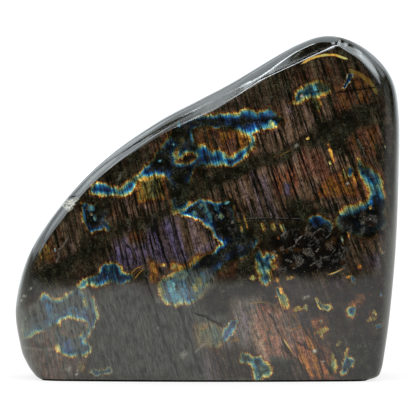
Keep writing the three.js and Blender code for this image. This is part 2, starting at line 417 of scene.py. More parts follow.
# basins: the colour runs down from gold at their edge through green and blue to black.
# outline, holes, width of the rim, order at the bottom, and glow of rim and bottom
basins = [
    {
        "edge": [
            (-46, 77), (-45, 78.6), (-43, 79.5), (-40, 79.3), (-37.5, 78.5), (-35, 77), (-34, 77),
            (-32, 79), (-30, 80.5), (-28, 82), (-26, 83.2), (-24, 86), (-22, 87.5), (-20.5, 89),
            (-20, 91), (-18, 93), (-17, 95), (-15, 96.5), (-13.5, 99), (-13, 101), (-11, 103.5),
            (-9, 105.3), (-5, 105), (-1, 106.5), (6, 107), (13, 107.5), (15, 108.6), (18, 109.3),
            (21, 107.4), (23.5, 108.4), (26, 109.6), (28, 107.5), (31.5, 104.5), (29, 102.6),
            (26, 101.3), (21, 100.6), (18, 99.3), (19.5, 97.5), (20.3, 95), (18.5, 92.5), (16.5, 90),
            (13.5, 88), (9.5, 86), (5, 87), (0, 86.2), (-4, 85.8), (-4.5, 84), (-6, 80), (-6.5, 74),
            (-7, 69), (-13, 68), (-13.5, 73), (-13, 76.5), (-14, 79.5), (-15.3, 82), (-16.5, 82.8),
            (-18, 82.5), (-20, 83), (-22, 82.3), (-25, 81.5), (-27, 80), (-28, 78), (-30, 75.8),
            (-33, 74), (-36, 75), (-40, 74.3), (-43, 74.5), (-45.5, 75.5),
        ],
        "holes": [
            [
                (-12, 87.8), (-10, 89.5), (-8, 91), (-6.3, 92), (-4.3, 91.5), (-3.2, 90.2), (-4, 88.5),
                (-5, 87.3), (-8, 87.5), (-11, 87.2),
            ],
            [(-12.5, 91), (-11, 94), (-9.5, 97), (-8.5, 96.5), (-9.5, 94), (-11.5, 90.5)],
            [
                (-4.2, 101.5), (0, 102.2), (4, 101.7), (8, 101.4), (12, 100.6), (15, 99.3), (17, 98.8),
                (18.3, 97), (17, 94.3), (15, 93.2), (13, 91.7), (11, 90.2), (9.5, 89.9), (8, 90.6),
                (7, 92.2), (6, 93), (4.5, 92.5), (3, 91.6), (2, 92.2), (1.5, 93.6), (0, 94.3),
                (-2.5, 94.2), (-4.5, 96), (-4.8, 99),
            ],
        ],
        "rim": 2, "bottom": 0.15, "rimGlow": 1, "deepGlow": 0.5,
    },
    {
        "edge": [
            (-19, 39.5), (-17, 41.7), (-13, 43.4), (-10, 44.2), (-7, 45.4), (-4.5, 46.9), (-1, 47.5),
            (2.5, 46), (4, 43.5), (3, 41.5), (1.8, 39.3), (0.6, 36.8), (-1, 34.7), (-3, 32.8),
            (-5, 31.2), (-8, 31.4), (-11, 30.6), (-15, 31.2), (-17.5, 33), (-18.7, 36),
        ],
        "rim": 1.7, "bottom": 0.275, "rimGlow": 0.7, "deepGlow": 0.32,
    },
    {
        "edge": [
            (-12.7, 67), (-12, 67.7), (-9, 66.8), (-5, 66), (-3, 65.2), (-1, 64), (1, 62.6), (2.2, 61),
            (3.2, 59.5), (4, 58), (5.5, 56.5), (6.8, 55.3), (5, 53.6), (3, 52), (1, 51), (-1, 50),
            (-3, 48.5), (-5, 46.7), (-7, 45.2), (-6, 42), (-2, 40.2), (2, 40.5), (5, 44), (7.5, 46.8),
            (10, 48.6), (13, 49.5), (16, 50), (20, 54), (21.5, 57), (19, 59.5), (15, 62), (12, 66),
            (11.3, 70.5), (10.5, 73.8), (9.3, 72.9), (7.5, 72.3), (4, 71.8), (2, 72.3), (0, 72.6),
            (-2, 73.5), (-4, 72), (-6.3, 70.3), (-8, 69), (-10, 69),
        ],
        "rim": 1.7, "bottom": 0.13, "rimGlow": 1, "deepGlow": 0.33,
    },
    {
        "edge": [
            (-51, 37), (-50, 39.5), (-48.5, 41), (-46.5, 42.2), (-45, 42.4), (-43.3, 42.7), (-42, 43.8),
            (-41.5, 46.3), (-40, 47.5), (-39.5, 48.4), (-38.5, 47.4), (-36.5, 47.6), (-35, 47),
            (-33.5, 46), (-33, 44.3), (-31.5, 43.4), (-29.5, 43.5), (-28.4, 42.5), (-28.8, 40.8),
            (-30, 40), (-33, 39), (-35, 38.5), (-36.5, 39.5), (-39, 39.6), (-41, 38.4), (-43.5, 37.8),
            (-45, 38.8), (-47.5, 38.6), (-49, 37),
        ],
        "rim": 1.4, "bottom": 0.26, "rimGlow": 1.2, "deepGlow": 0.7,
    },
    {
        "edge": [
            (-65, 35.8), (-63, 34.6), (-61, 33), (-59, 33.3), (-57, 34.2), (-55, 35.6), (-53, 36.3),
            (-51.5, 38), (-50, 38), (-49.5, 36), (-47.5, 34.5), (-45.7, 34), (-44.2, 32.6), (-43.6, 30),
            (-43, 27.5), (-42.4, 25.6), (-43.5, 23.6), (-44.6, 22), (-46, 20), (-47.5, 18), (-48.5, 16),
            (-46, 14.5), (-45.2, 13), (-46.5, 11.5), (-48, 9.5), (-50, 10), (-52, 10.4), (-55, 10),
            (-57, 10.9), (-58.7, 12), (-59.8, 14), (-60, 18), (-59.6, 20.5), (-58.5, 22.5), (-57, 24),
            (-60, 22.5), (-62, 21.2), (-66, 20.2), (-68, 19), (-70, 17.6), (-73.4, 16), (-74, 20),
            (-73.5, 24), (-72.8, 25.9), (-70, 26.6), (-67.2, 28.2), (-66, 30), (-66.3, 32.5),
        ],
        "holes": [
            [
                (-57.5, 24.2), (-55, 25.4), (-52, 25), (-49, 24.4), (-47.2, 23.3), (-47.5, 21.4),
                (-49, 19.8), (-50.5, 18.2), (-53, 17.5), (-55.5, 17.7), (-57.2, 19), (-58.2, 21.5),
            ],
        ],
        "rim": 1.3, "bottom": 0.28, "rimGlow": 0.75, "deepGlow": 0.24,
    },
    {
        "edge": [
            (-49.6, 71), (-48.7, 66), (-48, 62.5), (-46.6, 60.3), (-45.3, 59.4), (-43.5, 60.3),
            (-41.5, 61.2), (-40, 61.6), (-38.8, 60), (-36.5, 61), (-38.5, 63.5), (-40.5, 65),
            (-37.5, 67.5), (-41, 69), (-43, 71.5), (-45.5, 69.5), (-47.5, 71.5),
        ],
        "rim": 1.7, "bottom": 0.05, "rimGlow": 0.5, "deepGlow": 0.1,
    },
    {
        "edge": [
            (33.5, 111.6), (35.5, 112.2), (36.2, 114.8), (37, 116.8), (39.5, 117.8), (41.5, 119),
            (43.8, 120.4), (46, 120.2), (47.7, 118.9), (49.8, 118.4), (50.6, 116.6), (49.2, 115),
            (47, 114.3), (44.5, 113.3), (42.4, 113.6), (40.3, 113), (38.6, 111.6), (36, 111),
        ],
        "rim": 1.4, "bottom": 0.34, "rimGlow": 0.9, "deepGlow": 0.14,
    },
    {
        "edge": [
            (54.9, 117.3), (56, 119.8), (57.3, 122.6), (58.3, 123.6), (59.3, 122.6), (58.3, 120.6),
            (57, 118.6), (55.9, 116.8),
        ],
        "rim": 0.7, "bottom": 0.2, "rimGlow": 1, "deepGlow": 1,
    },
    {
        "edge": [
            (41, 65.2), (42.5, 66.6), (44, 66.8), (46, 66.3), (48, 65.6), (49.8, 64.4), (51, 63.2),
            (51, 60), (47, 59.5), (42, 60), (41, 63),
        ],
        "rim": 1.5, "bottom": 0.16, "rimGlow": 1.2, "deepGlow": 1,
    },
    {
        "edge": [
            (52, 65.2), (54, 67.4), (56, 69.6), (58, 70.4), (60, 70.3), (63, 71.5), (65, 73), (66, 75),
            (65, 78), (63, 80.5), (61.5, 83), (60.8, 85.5), (61.3, 88.5), (62.8, 88), (63.5, 86),
            (66, 85.6), (68, 84.4), (70, 82.4), (71.3, 80), (71.5, 75), (73, 70), (73, 62), (66, 57.5),
            (60, 58.5), (57.5, 59.5), (56, 56.3), (54.6, 57.5), (54, 60), (52, 61),
        ],
        "rim": 2.2, "bottom": 0.26, "rimGlow": 0.8, "deepGlow": 0.1,
    },
    {
        "edge": [
            (57, 85.8), (58, 86.2), (59.4, 85.4), (59.5, 83.6), (58.6, 81.8), (57.6, 82.2), (57, 84),
        ],
        "rim": 0.8, "bottom": 0.24, "rimGlow": 1, "deepGlow": 1,
    },
    {
        "edge": [
            (18.5, 50.5), (20.5, 47.5), (19.8, 44.8), (22.2, 43), (21.8, 40.5), (24.4, 39),
            (26.8, 41.2), (25.6, 43.8), (28.2, 45.6), (26.4, 48.4), (28.6, 50.8), (25, 51.6), (23, 50),
            (21.4, 53.4),
        ],
        "rim": 1.9, "bottom": 0.26, "rimGlow": 0.75, "deepGlow": 0.25,
    },
    {
        "edge": [
            (6.6, 17), (7.4, 19.8), (9.3, 23.2), (11.8, 25.2), (13.3, 24.6), (12.6, 21.9), (10.8, 19.2),
            (8.2, 16.4),
        ],
        "rim": 0.8, "bottom": 0.2, "rimGlow": 0.6, "deepGlow": 0.9,
    },
    {
        "edge": [
            (13.5, 9.5), (14.5, 11.8), (16, 12), (18, 10.6), (20, 10), (22, 10.8), (23.2, 9), (25, 7.6),
            (26.6, 6.4), (27, 4.3), (25.5, 2), (23, 2), (22.2, 0), (19.8, 0), (19.3, 3.5), (18.5, 6.8),
            (16, 7.5), (14, 8),
        ],
        "rim": 1.3, "bottom": 0.32, "rimGlow": 0.9, "deepGlow": 0.45,
    },
    {
        "edge": [
            (50.3, 12), (51.2, 12), (52, 9.5), (53, 7), (52.5, 4.5), (50, 3), (49.8, 6), (50.4, 9),
        ],
        "rim": 1.3, "bottom": 0.34, "rimGlow": 0.9, "deepGlow": 0.45,
    },
    {
        "edge": [
            (54.2, 3), (55, 7), (55.8, 10.5), (57, 14), (57.2, 10), (60, 8.6), (59, 6), (57, 4),
            (55.5, 2.7),
        ],
        "rim": 1.1, "bottom": 0.31, "rimGlow": 0.9, "deepGlow": 0.5,
    },
    {
        "edge": [
            (44.3, 33.6), (46, 31.8), (48, 31.2), (50, 31.6), (51, 29.5), (49, 28.7), (46.5, 29.2),
            (44.8, 31),
        ],
        "rim": 0.8, "bottom": 0.29, "rimGlow": 1, "deepGlow": 0.5,
    },
    {
        "edge": [(57.3, 30.2), (59.7, 30), (60, 27.5), (59, 25.8), (57, 26.5), (56.5, 28.5)],
        "rim": 1, "bottom": 0.27, "rimGlow": 0.7, "deepGlow": 0.5,
    },
    {
        "edge": [
            (28, 37.5), (30, 38), (31.5, 36), (32.5, 34), (33.5, 30), (32, 29), (30, 31), (29, 34),
        ],
        "rim": 1.1, "bottom": 0.33, "rimGlow": 1, "deepGlow": 0.4,
    },
    {
        "edge": [
            (-46.5, 3.2), (-45.5, 4.9), (-43, 4.6), (-41, 4.9), (-39, 6), (-37.5, 5.6), (-36.8, 4.4),
            (-38.5, 3.2), (-41, 3), (-44, 2.5),
        ],
        "rim": 0.9, "bottom": 0.3, "rimGlow": 0.4, "deepGlow": 0.35,
    },
]

# stretches of the basins' edges that shine: x, z, half length, half height
glints = [
    (-47, 39.5, 7, 3), (46.5, 66.5, 5, 2.6), (57, 69, 5, 3), (-35, 77, 10, 4), (-20, 82, 8, 4),
    (-8, 89.5, 6, 3.5), (1, 83, 7, 3), (-4, 64, 9, 7), (0, 71, 7, 3), (-43, 61, 5, 2.5),
    (-48, 67, 2, 5), (-36, 46, 8, 4), (-16, 45, 7, 4), (14, 107, 14, 3), (22, 100, 9, 4.5),
    (9, 92, 12, 6), (46, 66, 5, 3), (64, 75, 9, 9), (69, 82, 4, 4), (5, 56, 5, 5), (25, 46, 5, 9),
    (40, 115, 8, 6), (-12, 34, 8, 5), (-44, 27, 4, 8), (-58, 34, 9, 3), (-52, 24, 8, 3),
    (-47, 15, 4, 6), (-56, 12, 6, 4), (-70, 19, 6, 4), (21, 7, 8, 7), (10, 21, 5, 5), (56, 8, 6, 6),
    (57, 120, 4, 5), (47, 31, 6, 4), (58, 28, 4, 4), (31, 34, 4, 6), (-42, 4, 6, 3), (-44, 77, 5, 4),
]

# places where a basin shows blue instead of black: x, z, half length, half height
pools = [
    (46.5, 63.8, 4.5, 2), (28, 102, 12, 3), (8, 105.5, 8, 2.5), (10, 91.5, 14, 4.5), (-5, 89, 5, 3),
    (-34, 77.5, 11, 3.5), (-17, 84, 7, 2.5), (-12.5, 78, 1.8, 4), (-6, 66, 9, 2.5), (14, 55, 9, 4.5),
    (5, 49, 8, 4), (-4, 45, 7, 4), (-41, 44, 9, 3.5), (46, 65, 5, 2.2), (69, 77, 3, 6), (-12, 36, 9, 8),
    (3, 70, 6, 4), (57, 120, 3, 4),
]

# paler grey parts of the stone itself: outline, strength, softness
greys = [
    ([(-45, 2), (2, 1), (2, 28), (-6, 32), (-18, 30), (-30, 38), (-42, 34), (-46, 12)], 1, 3),
    ([(-4, 15), (10, 14), (13, 22), (9, 26), (0, 26), (-5, 22)], 1.8, 2),
    ([(-76, 18), (-60, 14), (-46, 12), (-42, 30), (-48, 38), (-62, 36), (-74, 28)], 1.9, 2),
    ([(36, 32), (44, 32), (44, 38), (34, 38)], 0.5, 1.5),
    ([(11, 33), (22, 34), (21, 22), (17, 13), (9, 19)], 1.2, 2.5),
    ([(26, 8), (36, 12), (36, 24), (24, 24)], 0.4, 3),
    ([(-72, 2), (-50, 2), (-48, 10), (-60, 18), (-72, 14)], 1, 3),
    ([(-20, 32), (-4, 30), (4, 40), (2, 46), (-16, 43)], 1.8, 2),
    ([(22, 9), (31, 8), (36, 16), (34, 24), (29, 29), (21, 28), (19, 18)], 1.1, 2),
]

# small dabs of colour: x, z, half length along the grain, half width, order, flash
dabs = [
    (50.3, 91.5, 4, 0.7, 0.49, 1.2), (50.1, 87.6, 1.1, 0.8, 0.4, 1.3),
    (60, 81.4, 2.4, 1.2, 0.485, 0.85), (62, 88.2, 1.6, 0.7, 0.4, 0.8),
    (55.6, 83.5, 2.5, 0.9, 0.43, 0.45), (66.6, 71.6, 1.3, 0.8, 0.26, 1.3),
    (66.2, 69.8, 0.8, 0.6, 0.56, 0.8), (54.9, 56.5, 1.7, 0.5, 0.36, 0.8),
    (57.6, 58.3, 1.9, 0.5, 0.5, 0.8), (22.8, 62, 2.2, 1.2, 0.45, 0.6), (27, 62.3, 2, 1.3, 0.47, 0.4),
    (30.7, 62, 2, 1.1, 0.41, 0.55), (32, 60.6, 0.8, 0.6, 0.36, 0.6), (29.3, 57.5, 1, 0.7, 0.6, 0.6),
    (16.2, 64.5, 3, 0.6, 0.48, 0.4), (14.3, 61.5, 2, 0.5, 0.48, 0.35),
    (30.6, 36.6, 1.9, 0.9, 0.5, 1.35), (37, 29.3, 1.1, 2.4, 0.46, 0.6),
    (44, 22.8, 2.3, 1.7, 0.61, 0.83), (46.2, 19.6, 2.4, 0.8, 0.43, 0.45),
    (46.3, 24.3, 0.8, 0.6, 0.34, 0.75), (40.4, 29.8, 1.4, 1.2, 0.4, 0.45),
    (47.2, 20.6, 1.1, 3.2, 0.45, 0.5), (53.6, 15.3, 1.2, 1.3, 0.4, 0.4),
    (66.6, 25, 1.1, 2.6, 0.46, 0.45), (69.8, 22, 1.2, 1.8, 0.3, 0.35), (59.2, 41, 2.2, 0.9, 0.31, 0.6),
    (57.2, 41.8, 0.8, 0.9, 0.5, 0.9), (49, 34, 2.2, 3, 0.8, 0.35), (59.6, 31.8, 1.2, 2.1, 0.59, 1.12),
    (63.8, 33.4, 1.6, 0.7, 0.58, 0.68), (66, 34.8, 0.9, 0.6, 0.57, 0.6),
    (61.8, 46.1, 1.4, 0.9, 0.56, 1.05), (70.4, 34.8, 0.9, 0.5, 0.23, 0.9),
    (67.8, 28, 2.2, 0.6, 0.42, 0.52), (66.2, 27, 2, 0.8, 0.57, 0.38), (70.6, 52, 1.6, 0.5, 0.26, 0.5),
    (71.6, 94.5, 3, 0.5, 0.37, 0.35), (-65.8, 51, 2.5, 0.8, 0.46, 0.3),
    (-63, 53.5, 2.2, 0.7, 0.46, 0.3), (-60, 52.6, 0.8, 0.6, 0.25, 0.6),
    (-45.6, 67, 0.8, 0.6, 0.58, 0.8), (-49.6, 71.3, 0.9, 0.6, 0.57, 0.7),
    (-72, 22, 3.5, 1.5, 0.38, 0.3), (-48, 31.5, 2.4, 1.2, 0.44, 0.45), (-49.5, 6, 2.6, 1.4, 0.48, 0.3),
    (-54.5, 14, 2.6, 2.2, 0.22, 0.5), (-62.5, 29, 2.8, 1.6, 0.27, 0.4),
    (-16.6, 46.9, 0.8, 1.1, 0.43, 0.9), (-28.3, 50.2, 0.7, 0.5, 0.58, 0.7),
    (-1.8, 70.4, 1.4, 1.2, 0.38, 0.8), (-4, 37.5, 2.2, 1.4, 0.45, 0.6), (-8.5, 37, 4, 1.6, 0.315, 0.55),
    (-13.5, 38, 3.4, 1.8, 0.31, 0.5), (-12, 33.5, 1.8, 2.8, 0.305, 0.55), (-17, 36, 3, 1.2, 0.42, 0.35),
    (-2.5, 40, 3, 1.4, 0.43, 0.3), (-9.5, 42.5, 1.8, 3, 0.38, 0.3), (0.3, 22.3, 0.9, 3.2, 0.5, 0.35),
    (12, 16.8, 0.9, 2.2, 0.5, 0.35), (5.6, 14.6, 0.8, 0.7, 0.46, 0.5),
    (26.5, 103.3, 1.6, 1.7, 0.4, 1.1), (42.5, 117, 1.5, 2.2, 0.335, 0.45),
    (44.5, 110.5, 3, 2.2, 0.46, 0.22), (8.5, 71.6, 0.5, 1.6, 0.34, 0.9), (0, 69.5, 3, 1.2, 0.345, 0.28),
    (4.5, 69.8, 2.2, 1.1, 0.35, 0.32), (2, 66, 2.6, 0.9, 0.33, 0.28), (6.5, 66.5, 2, 1.2, 0.4, 0.4),
    (-4, 67.3, 1.6, 1.2, 0.34, 0.3), (-45.5, 69.5, 1.6, 1.4, 0.33, 0.4),
    (-44, 65.5, 1.4, 1, 0.36, 0.35), (19, 41.5, 1.6, 1.3, 0.42, 0.5), (29, 41, 1.4, 1, 0.5, 0.6),
    (34, 41.6, 1, 1.6, 0.46, 0.5), (-10.5, 103, 1.2, 0.6, 0.33, 0.8), (-12.6, 95, 0.9, 0.5, 0.33, 0.8),
    (-5.4, 98, 2.5, 0.5, 0.31, 0.6), (41.3, 97.4, 0.6, 1.2, 0.43, 1.6), (-18, 88.4, 0.5, 1, 0.35, 0.5),
]

# thin coloured lines: points, half width, order, flash
strands = [
    ([(39.5, 127.6), (42, 129), (44.5, 129.9), (48, 130.6), (52, 130.6), (56, 129.2)], 0.6, 0.465, 1),
    ([(58.5, 124.3), (61.5, 123), (64.5, 121), (67, 118.5), (68.5, 116)], 1, 0.49, 0.2),
    ([(28, 90), (31, 91), (34, 92.6)], 0.3, 0.5, 0.15),
    ([(18, 31.5), (22, 32.1), (26, 31.6), (28, 30.6), (29, 29)], 0.35, 0.45, 0.22),
    ([(-29, 44), (-27.2, 45.6), (-25.4, 46.2)], 0.3, 0.5, 0.4),
    ([(-28, 41.5), (-26.5, 43.4), (-25, 44.8)], 0.3, 0.5, 0.35),
    ([(50, 43.1), (52.5, 44), (55, 45.2)], 0.3, 0.49, 0.9),
    ([(30, 18.7), (32.5, 15.5), (34.5, 12.3)], 0.35, 0.5, 0.8),
    ([(-73.5, 16.2), (-70, 17.8), (-66, 20.3)], 0.35, 0.4, 0.5),
    ([(36, 26), (38.5, 22)], 0.3, 0.5, 0.3),
    ([(35, 21), (38, 22)], 0.3, 0.5, 0.4),
]

# places where the plates are broken or missing and the flash goes out:
# outline, share of the flash left, softness
shadows = [
    (
        [
            (-13, 69), (-7, 69), (-6, 78), (-3.5, 86), (-4, 92), (-4.5, 104), (-9, 105), (-11, 98),
            (-12, 90), (-20, 85), (-13, 80),
        ],
        0.25, 2.2,
    ),
    (
        [
            (-34, 60), (-24, 60), (-14, 67), (-8, 70), (-8, 80), (-14, 78), (-14, 70), (-24, 67),
            (-34, 66),
        ],
        0.35, 2,
    ),
    (
        [
            (-76, 34), (-66, 36), (-58, 42), (-50, 48), (-40, 53), (-40, 57), (-52, 52), (-62, 46),
            (-74, 40),
        ],
        0.08, 1.3,
    ),
    (
        [
            (-2, 75), (12, 80), (20, 84), (32, 88), (40, 93), (56, 92), (48, 100), (44, 106), (40, 98),
            (30, 93), (18, 90), (10, 88), (0, 81),
        ],
        0.15, 1.4,
    ),
    ([(45, 97), (58, 98), (66, 104), (68, 112), (60, 111), (52, 106), (45, 104)], 0.08, 2),
    ([(50, 91), (57, 92), (58, 103), (50, 103)], 0.12, 2),
    ([(32, 66), (41, 66), (45, 73), (55, 73.2), (45, 74), (34, 74)], 0.1, 1.3),
    (
        [
            (2, 60), (14, 62), (20, 66), (24, 66), (40, 65), (42, 60), (30, 58), (22, 55), (14, 60),
            (8, 58),
        ],
        0.25, 2,
    ),
    ([(12, 42), (20, 42), (20, 50), (28, 58), (16, 52)], 0.1, 2),
    ([(-29, 40.5), (-23, 40.5), (-23, 45), (-27, 46)], 0.15, 1),
    ([(54, 98), (60, 104), (56, 108), (52, 106)], 0.1, 2),
    ([(8, 82), (14, 80), (20, 88), (12, 90)], 0.3, 2),
    ([(34, 61), (40, 66), (52, 67), (52, 71), (44, 70.5), (36, 68)], 0.1, 1.5),
]

# crystalline patches: outline, strength, softness
rocks = [
    ([(27, 44), (40, 43), (56, 46), (57, 57), (53, 61), (46, 60.5), (38, 63), (26, 58)], 1, 2.2),
    ([(52, 56), (60, 58), (72, 58), (73, 72), (60, 69), (53, 64)], 0.8, 2),
    ([(3, 59), (12, 60), (14, 67), (8, 71), (2, 69), (1, 66)], 0.8, 1.5),
    ([(24, 29), (34, 29), (50, 28), (56, 38), (44, 39), (30, 41), (24, 38)], 0.6, 2),
    ([(50, 20), (58, 20), (70, 26), (70, 42), (56, 42), (52, 34)], 0.7, 2.5),
    ([(-48, 62), (-44, 61), (-37, 62), (-37, 72), (-47, 71)], 0.5, 1.5),
    ([(62, 75), (70, 76), (69, 84), (63, 84)], 0.6, 1),
    ([(45, 97), (58, 98), (64, 108), (52, 106)], 0.4, 2),
    ([(-12, 84), (-4, 84), (-5, 104), (-10, 104)], 0.35, 2),
    ([(-74, 30), (-68, 32), (-66, 40), (-74, 38)], 0.4, 2),
    ([(50, 8), (56, 10), (60, 18), (53, 18)], 0.4, 1.5),
]

# healed cracks: points, half width, strength
cracks = [
    (
        [
            (-23.5, 42), (-22, 38), (-20.5, 34), (-19.5, 29), (-18.5, 25), (-17.8, 21), (-16, 16),
            (-14.5, 12), (-13, 8), (-10.5, 2.5),
        ],
        0.4, 0.7,
    ),
    (
        [(-10, 30), (-9.5, 27), (-8.5, 22.5), (-7, 19), (-5.5, 15.5), (-4.5, 11.5), (-3, 8), (-1.5, 4)],
        0.4, 0.7,
    ),
    ([(3.5, 14), (5, 9), (7, 5), (8.5, 1)], 0.4, 0.6),
    ([(8.5, 15), (9.5, 10), (11, 5), (13, 1)], 0.4, 0.6),
    ([(-3, 27.5), (0, 26.5), (4, 24.5), (6, 23)], 0.4, 0.8),
    ([(26, 27), (28, 24), (30, 19), (32, 14.6), (34.5, 11.6)], 0.4, 0.8),
    ([(31, 13.5), (35, 10.5), (38, 8), (40, 5), (41.5, 1.5)], 0.35, 0.7),
    ([(37, 16), (42, 13), (45, 10.5), (47.5, 8), (50, 4.5)], 0.4, 0.8),
    ([(-20.5, 65), (-19.5, 60), (-18, 56), (-16.5, 52), (-14.3, 46.5)], 0.5, 0.8),
    ([(-13, 66), (-11.5, 60), (-10, 54.5), (-8.5, 50), (-7, 45)], 0.5, 0.8),
    ([(-24, 79.5), (-22.5, 73), (-21, 68)], 0.45, 0.8),
    ([(45, 79), (48, 74), (50, 70), (52, 65.5)], 0.35, 0.8),
    ([(20, 84), (22.5, 78), (25, 71), (27.5, 66)], 0.4, 0.8),
    ([(27, 84), (29, 77), (31, 71), (34, 66)], 0.4, 0.8),
    ([(10, 76), (12, 71), (13, 68)], 0.4, 0.8),
    ([(53, 115.5), (60, 116.6), (68, 117.6)], 0.4, 0.8),
    ([(18, 65.2), (26, 65.4), (38, 65)], 0.4, 0.7),
]

# fine pale scratches: points, half width, strength
scratches = [
    ([(-55, 58), (-56, 55), (-58.5, 53), (-58.5, 50), (-59.5, 47.5)], 0.3, 0.22),
    ([(-34.5, 81), (-33, 84)], 0.25, 0.3),
    ([(61, 97), (63, 93), (64, 90)], 0.25, 0.25),
    ([(-74, 12.9), (-66, 12.7), (-60, 12.9)], 0.4, 0.16),
    ([(-3.7, 12), (-1.5, 14.5), (0, 15.5)], 0.4, 0.22),
    ([(22, 126), (24.5, 128)], 0.25, 0.3),
    ([(29, 127.5), (33, 131)], 0.25, 0.25),
    ([(35, 128.6), (38.5, 132)], 0.25, 0.3),
    ([(26, 124.5), (27.6, 126)], 0.2, 0.3),
    ([(-31, 65), (-30, 61), (-31, 59)], 0.2, 0.2),
    ([(-13, 45.5), (-11, 47.5)], 0.3, 0.2),
    ([(50, 42.6), (54, 44.6)], 0.25, 0.25),
    ([(-52, 1.2), (-20, 0.9), (20, 1.3)], 0.2, 0.08),
    ([(43.6, 59.6), (45.4, 61.2), (47.4, 61)], 0.22, 0.22),
    ([(48, 57.2), (50.4, 59.6), (51, 62)], 0.18, 0.2),
    ([(44.6, 52.2), (45.8, 54)], 0.25, 0.3),
    ([(47.6, 49.6), (50.4, 50.6), (52, 53)], 0.16, 0.2),
    ([(36.4, 56.4), (38.2, 58.2)], 0.3, 0.36),
    ([(33.4, 53.4), (35.6, 54.4), (36.4, 56.4)], 0.18, 0.26),
    ([(40.2, 60.4), (41.2, 62.6)], 0.25, 0.3),
    ([(32.2, 49), (34.8, 48.2)], 0.22, 0.3),
    ([(35.4, 45.6), (38.2, 46.8), (39.4, 48.8)], 0.18, 0.28),
    ([(30.4, 58.2), (32, 60)], 0.25, 0.26),
    ([(39.6, 52), (41.6, 50.4)], 0.22, 0.3),
    ([(42, 46.4), (44, 47.6)], 0.25, 0.25),
    ([(54.2, 50), (55.6, 52.4)], 0.22, 0.22),
]

# pale mineral specks: x, z, radius, strength
specks = [
    (-70, 37, 0.45, 0.9), (-72.6, 33.8, 0.6, 0.6), (-73.8, 32, 0.5, 0.6), (-51.4, 3, 0.5, 1),
    (-51.4, 4.3, 0.45, 0.9), (-54.8, 5.2, 1.3, 0.35), (36.6, 94.4, 0.8, 0.5), (43.8, 12.4, 0.8, 0.9),
    (47.2, 8.1, 0.45, 0.8), (38.7, 114.2, 0.6, 0.9), (57, 79.3, 0.6, 0.6), (-8.6, 11.1, 1.5, 0.3),
    (-2.6, 13.4, 0.6, 0.3), (-1.2, 14.6, 0.7, 0.4), (0, 15.6, 0.6, 0.3), (-61.5, 6.5, 0.6, 0.2),
    (39.5, 33.8, 0.7, 0.7), (41, 34.2, 0.7, 0.6), (63, 63.4, 0.5, 0.4), (66, 65, 0.5, 0.4),
    (2.5, 61.5, 0.6, 0.4), (11, 64, 0.6, 0.3), (-19, 21.5, 0.4, 0.5), (7.5, 36.4, 0.5, 0.2),
    (56.4, 16.2, 0.5, 0.3),
]

chip = {
    "edge": [(-57.5, 70.3), (-55.5, 72.5), (-50.3, 73.6), (-52.5, 69.8), (-54, 67.8), (-55, 68.2)],
    "depth": 0.3,
    "soft": 0.5,
    "crumbs": 0.9,  # size of its roughness
    "paleness": 0.9,
}


def step(value, start, end):
    # 0 at the start, 1 at the end and smooth between, whichever of them is larger
    share = np.clip((value - start) / (end - start), 0, 1)
    return share * share * (3 - 2 * share)


def insideBy(x, z, edge):
    # distance from an outline, above zero inside it
    corners = np.array(edge, float)
    nearest = np.full(x.shape, 1e9)
    inside = np.zeros(x.shape, bool)
    for (ax, az), (bx, bz) in zip(corners, np.roll(corners, -1, axis=0)):
        nearest = np.minimum(nearest, lineGap(x, z, (ax, az), (bx, bz)))
        if az != bz:
            crosses = (az > z) != (bz > z)
            inside ^= crosses & (x < (bx - ax) * (z - az) / (bz - az) + ax)
    return nearest * np.where(inside, 1, -1)


def lineGap(x, z, start, end):
    # distance from the straight line between two points
    dx, dz = end[0] - start[0], end[1] - start[1]
    along = ((x - start[0]) * dx + (z - start[1]) * dz) / (dx * dx + dz * dz)
    along = np.clip(along, 0, 1)
    return np.hypot(x - start[0] - along * dx, z - start[1] - along * dz)


def pathGap(x, z, points):
    gaps = [lineGap(x, z, a, b) for a, b in zip(points, points[1:])]
    return np.minimum.reduce(gaps)


def nearestOf(x, z, items, size):
    # the closest item to each place: how far inside it, as `size` measures that, and
    # which one it is
    best = np.full(x.shape, -1e9)
    which = np.zeros(x.shape, int)
    for index, item in enumerate(items):
        inside = size(x, z, item)
        which = np.where(inside > best, index, which)
        best = np.maximum(best, inside)
    return best, which


def basinSize(x, z, basin):
    gap = insideBy(x, z, basin["edge"])
    for hole in basin.get("holes", []):
        gap = np.minimum(gap, -insideBy(x, z, hole))
    return gap


def dabSize(x, z, dab):
    tilt = math.radians(grain["tilt"])
    dx, dz = x - dab[0], z - dab[1]
    along = -dx * math.sin(tilt) + dz * math.cos(tilt)
    aside = dx * math.cos(tilt) + dz * math.sin(tilt)
    return 1 - np.hypot(along / dab[2], aside / dab[3])


def sideOf(x, z, points):
    # distance from a line, above zero on its left and below on its right
    best = np.full(x.shape, 1e9)
    side = np.ones(x.shape)
    for start, end in zip(points, points[1:]):
        gap = lineGap(x, z, start, end)
        turn = (end[0] - start[0]) * (z - start[1]) - (end[1] - start[1]) * (x - start[0])
        closer = gap < best
        best = np.where(closer, gap, best)
        side = np.where(closer, np.where(turn < 0, -1, 1), side)
    return best * side


def lineFields(x, z, lines, reach):
    # signed distance from the closest line, which one, and 1 near it falling to 0
    best = np.full(x.shape, 1e9)
    which = np.zeros(x.shape, int)
    for index, line in enumerate(lines):
        side = sideOf(x, z, line[0])
        closer = abs(side) < abs(best)
        best = np.where(closer, side, best)
        which = np.where(closer, index, which)
    return np.clip(best, -reach, reach), which, step(abs(best), reach, reach * 0.6)


def nearSpots(x, z, spots):
    # 1 within a spot, falling to 0 round it
    share = np.zeros_like(x)
    for cx, cz, halfX, halfZ in spots:
        far = np.hypot((x - cx) / halfX, (z - cz) / halfZ)
        share = np.maximum(share, step(far, 1.15, 0.7))
    return share


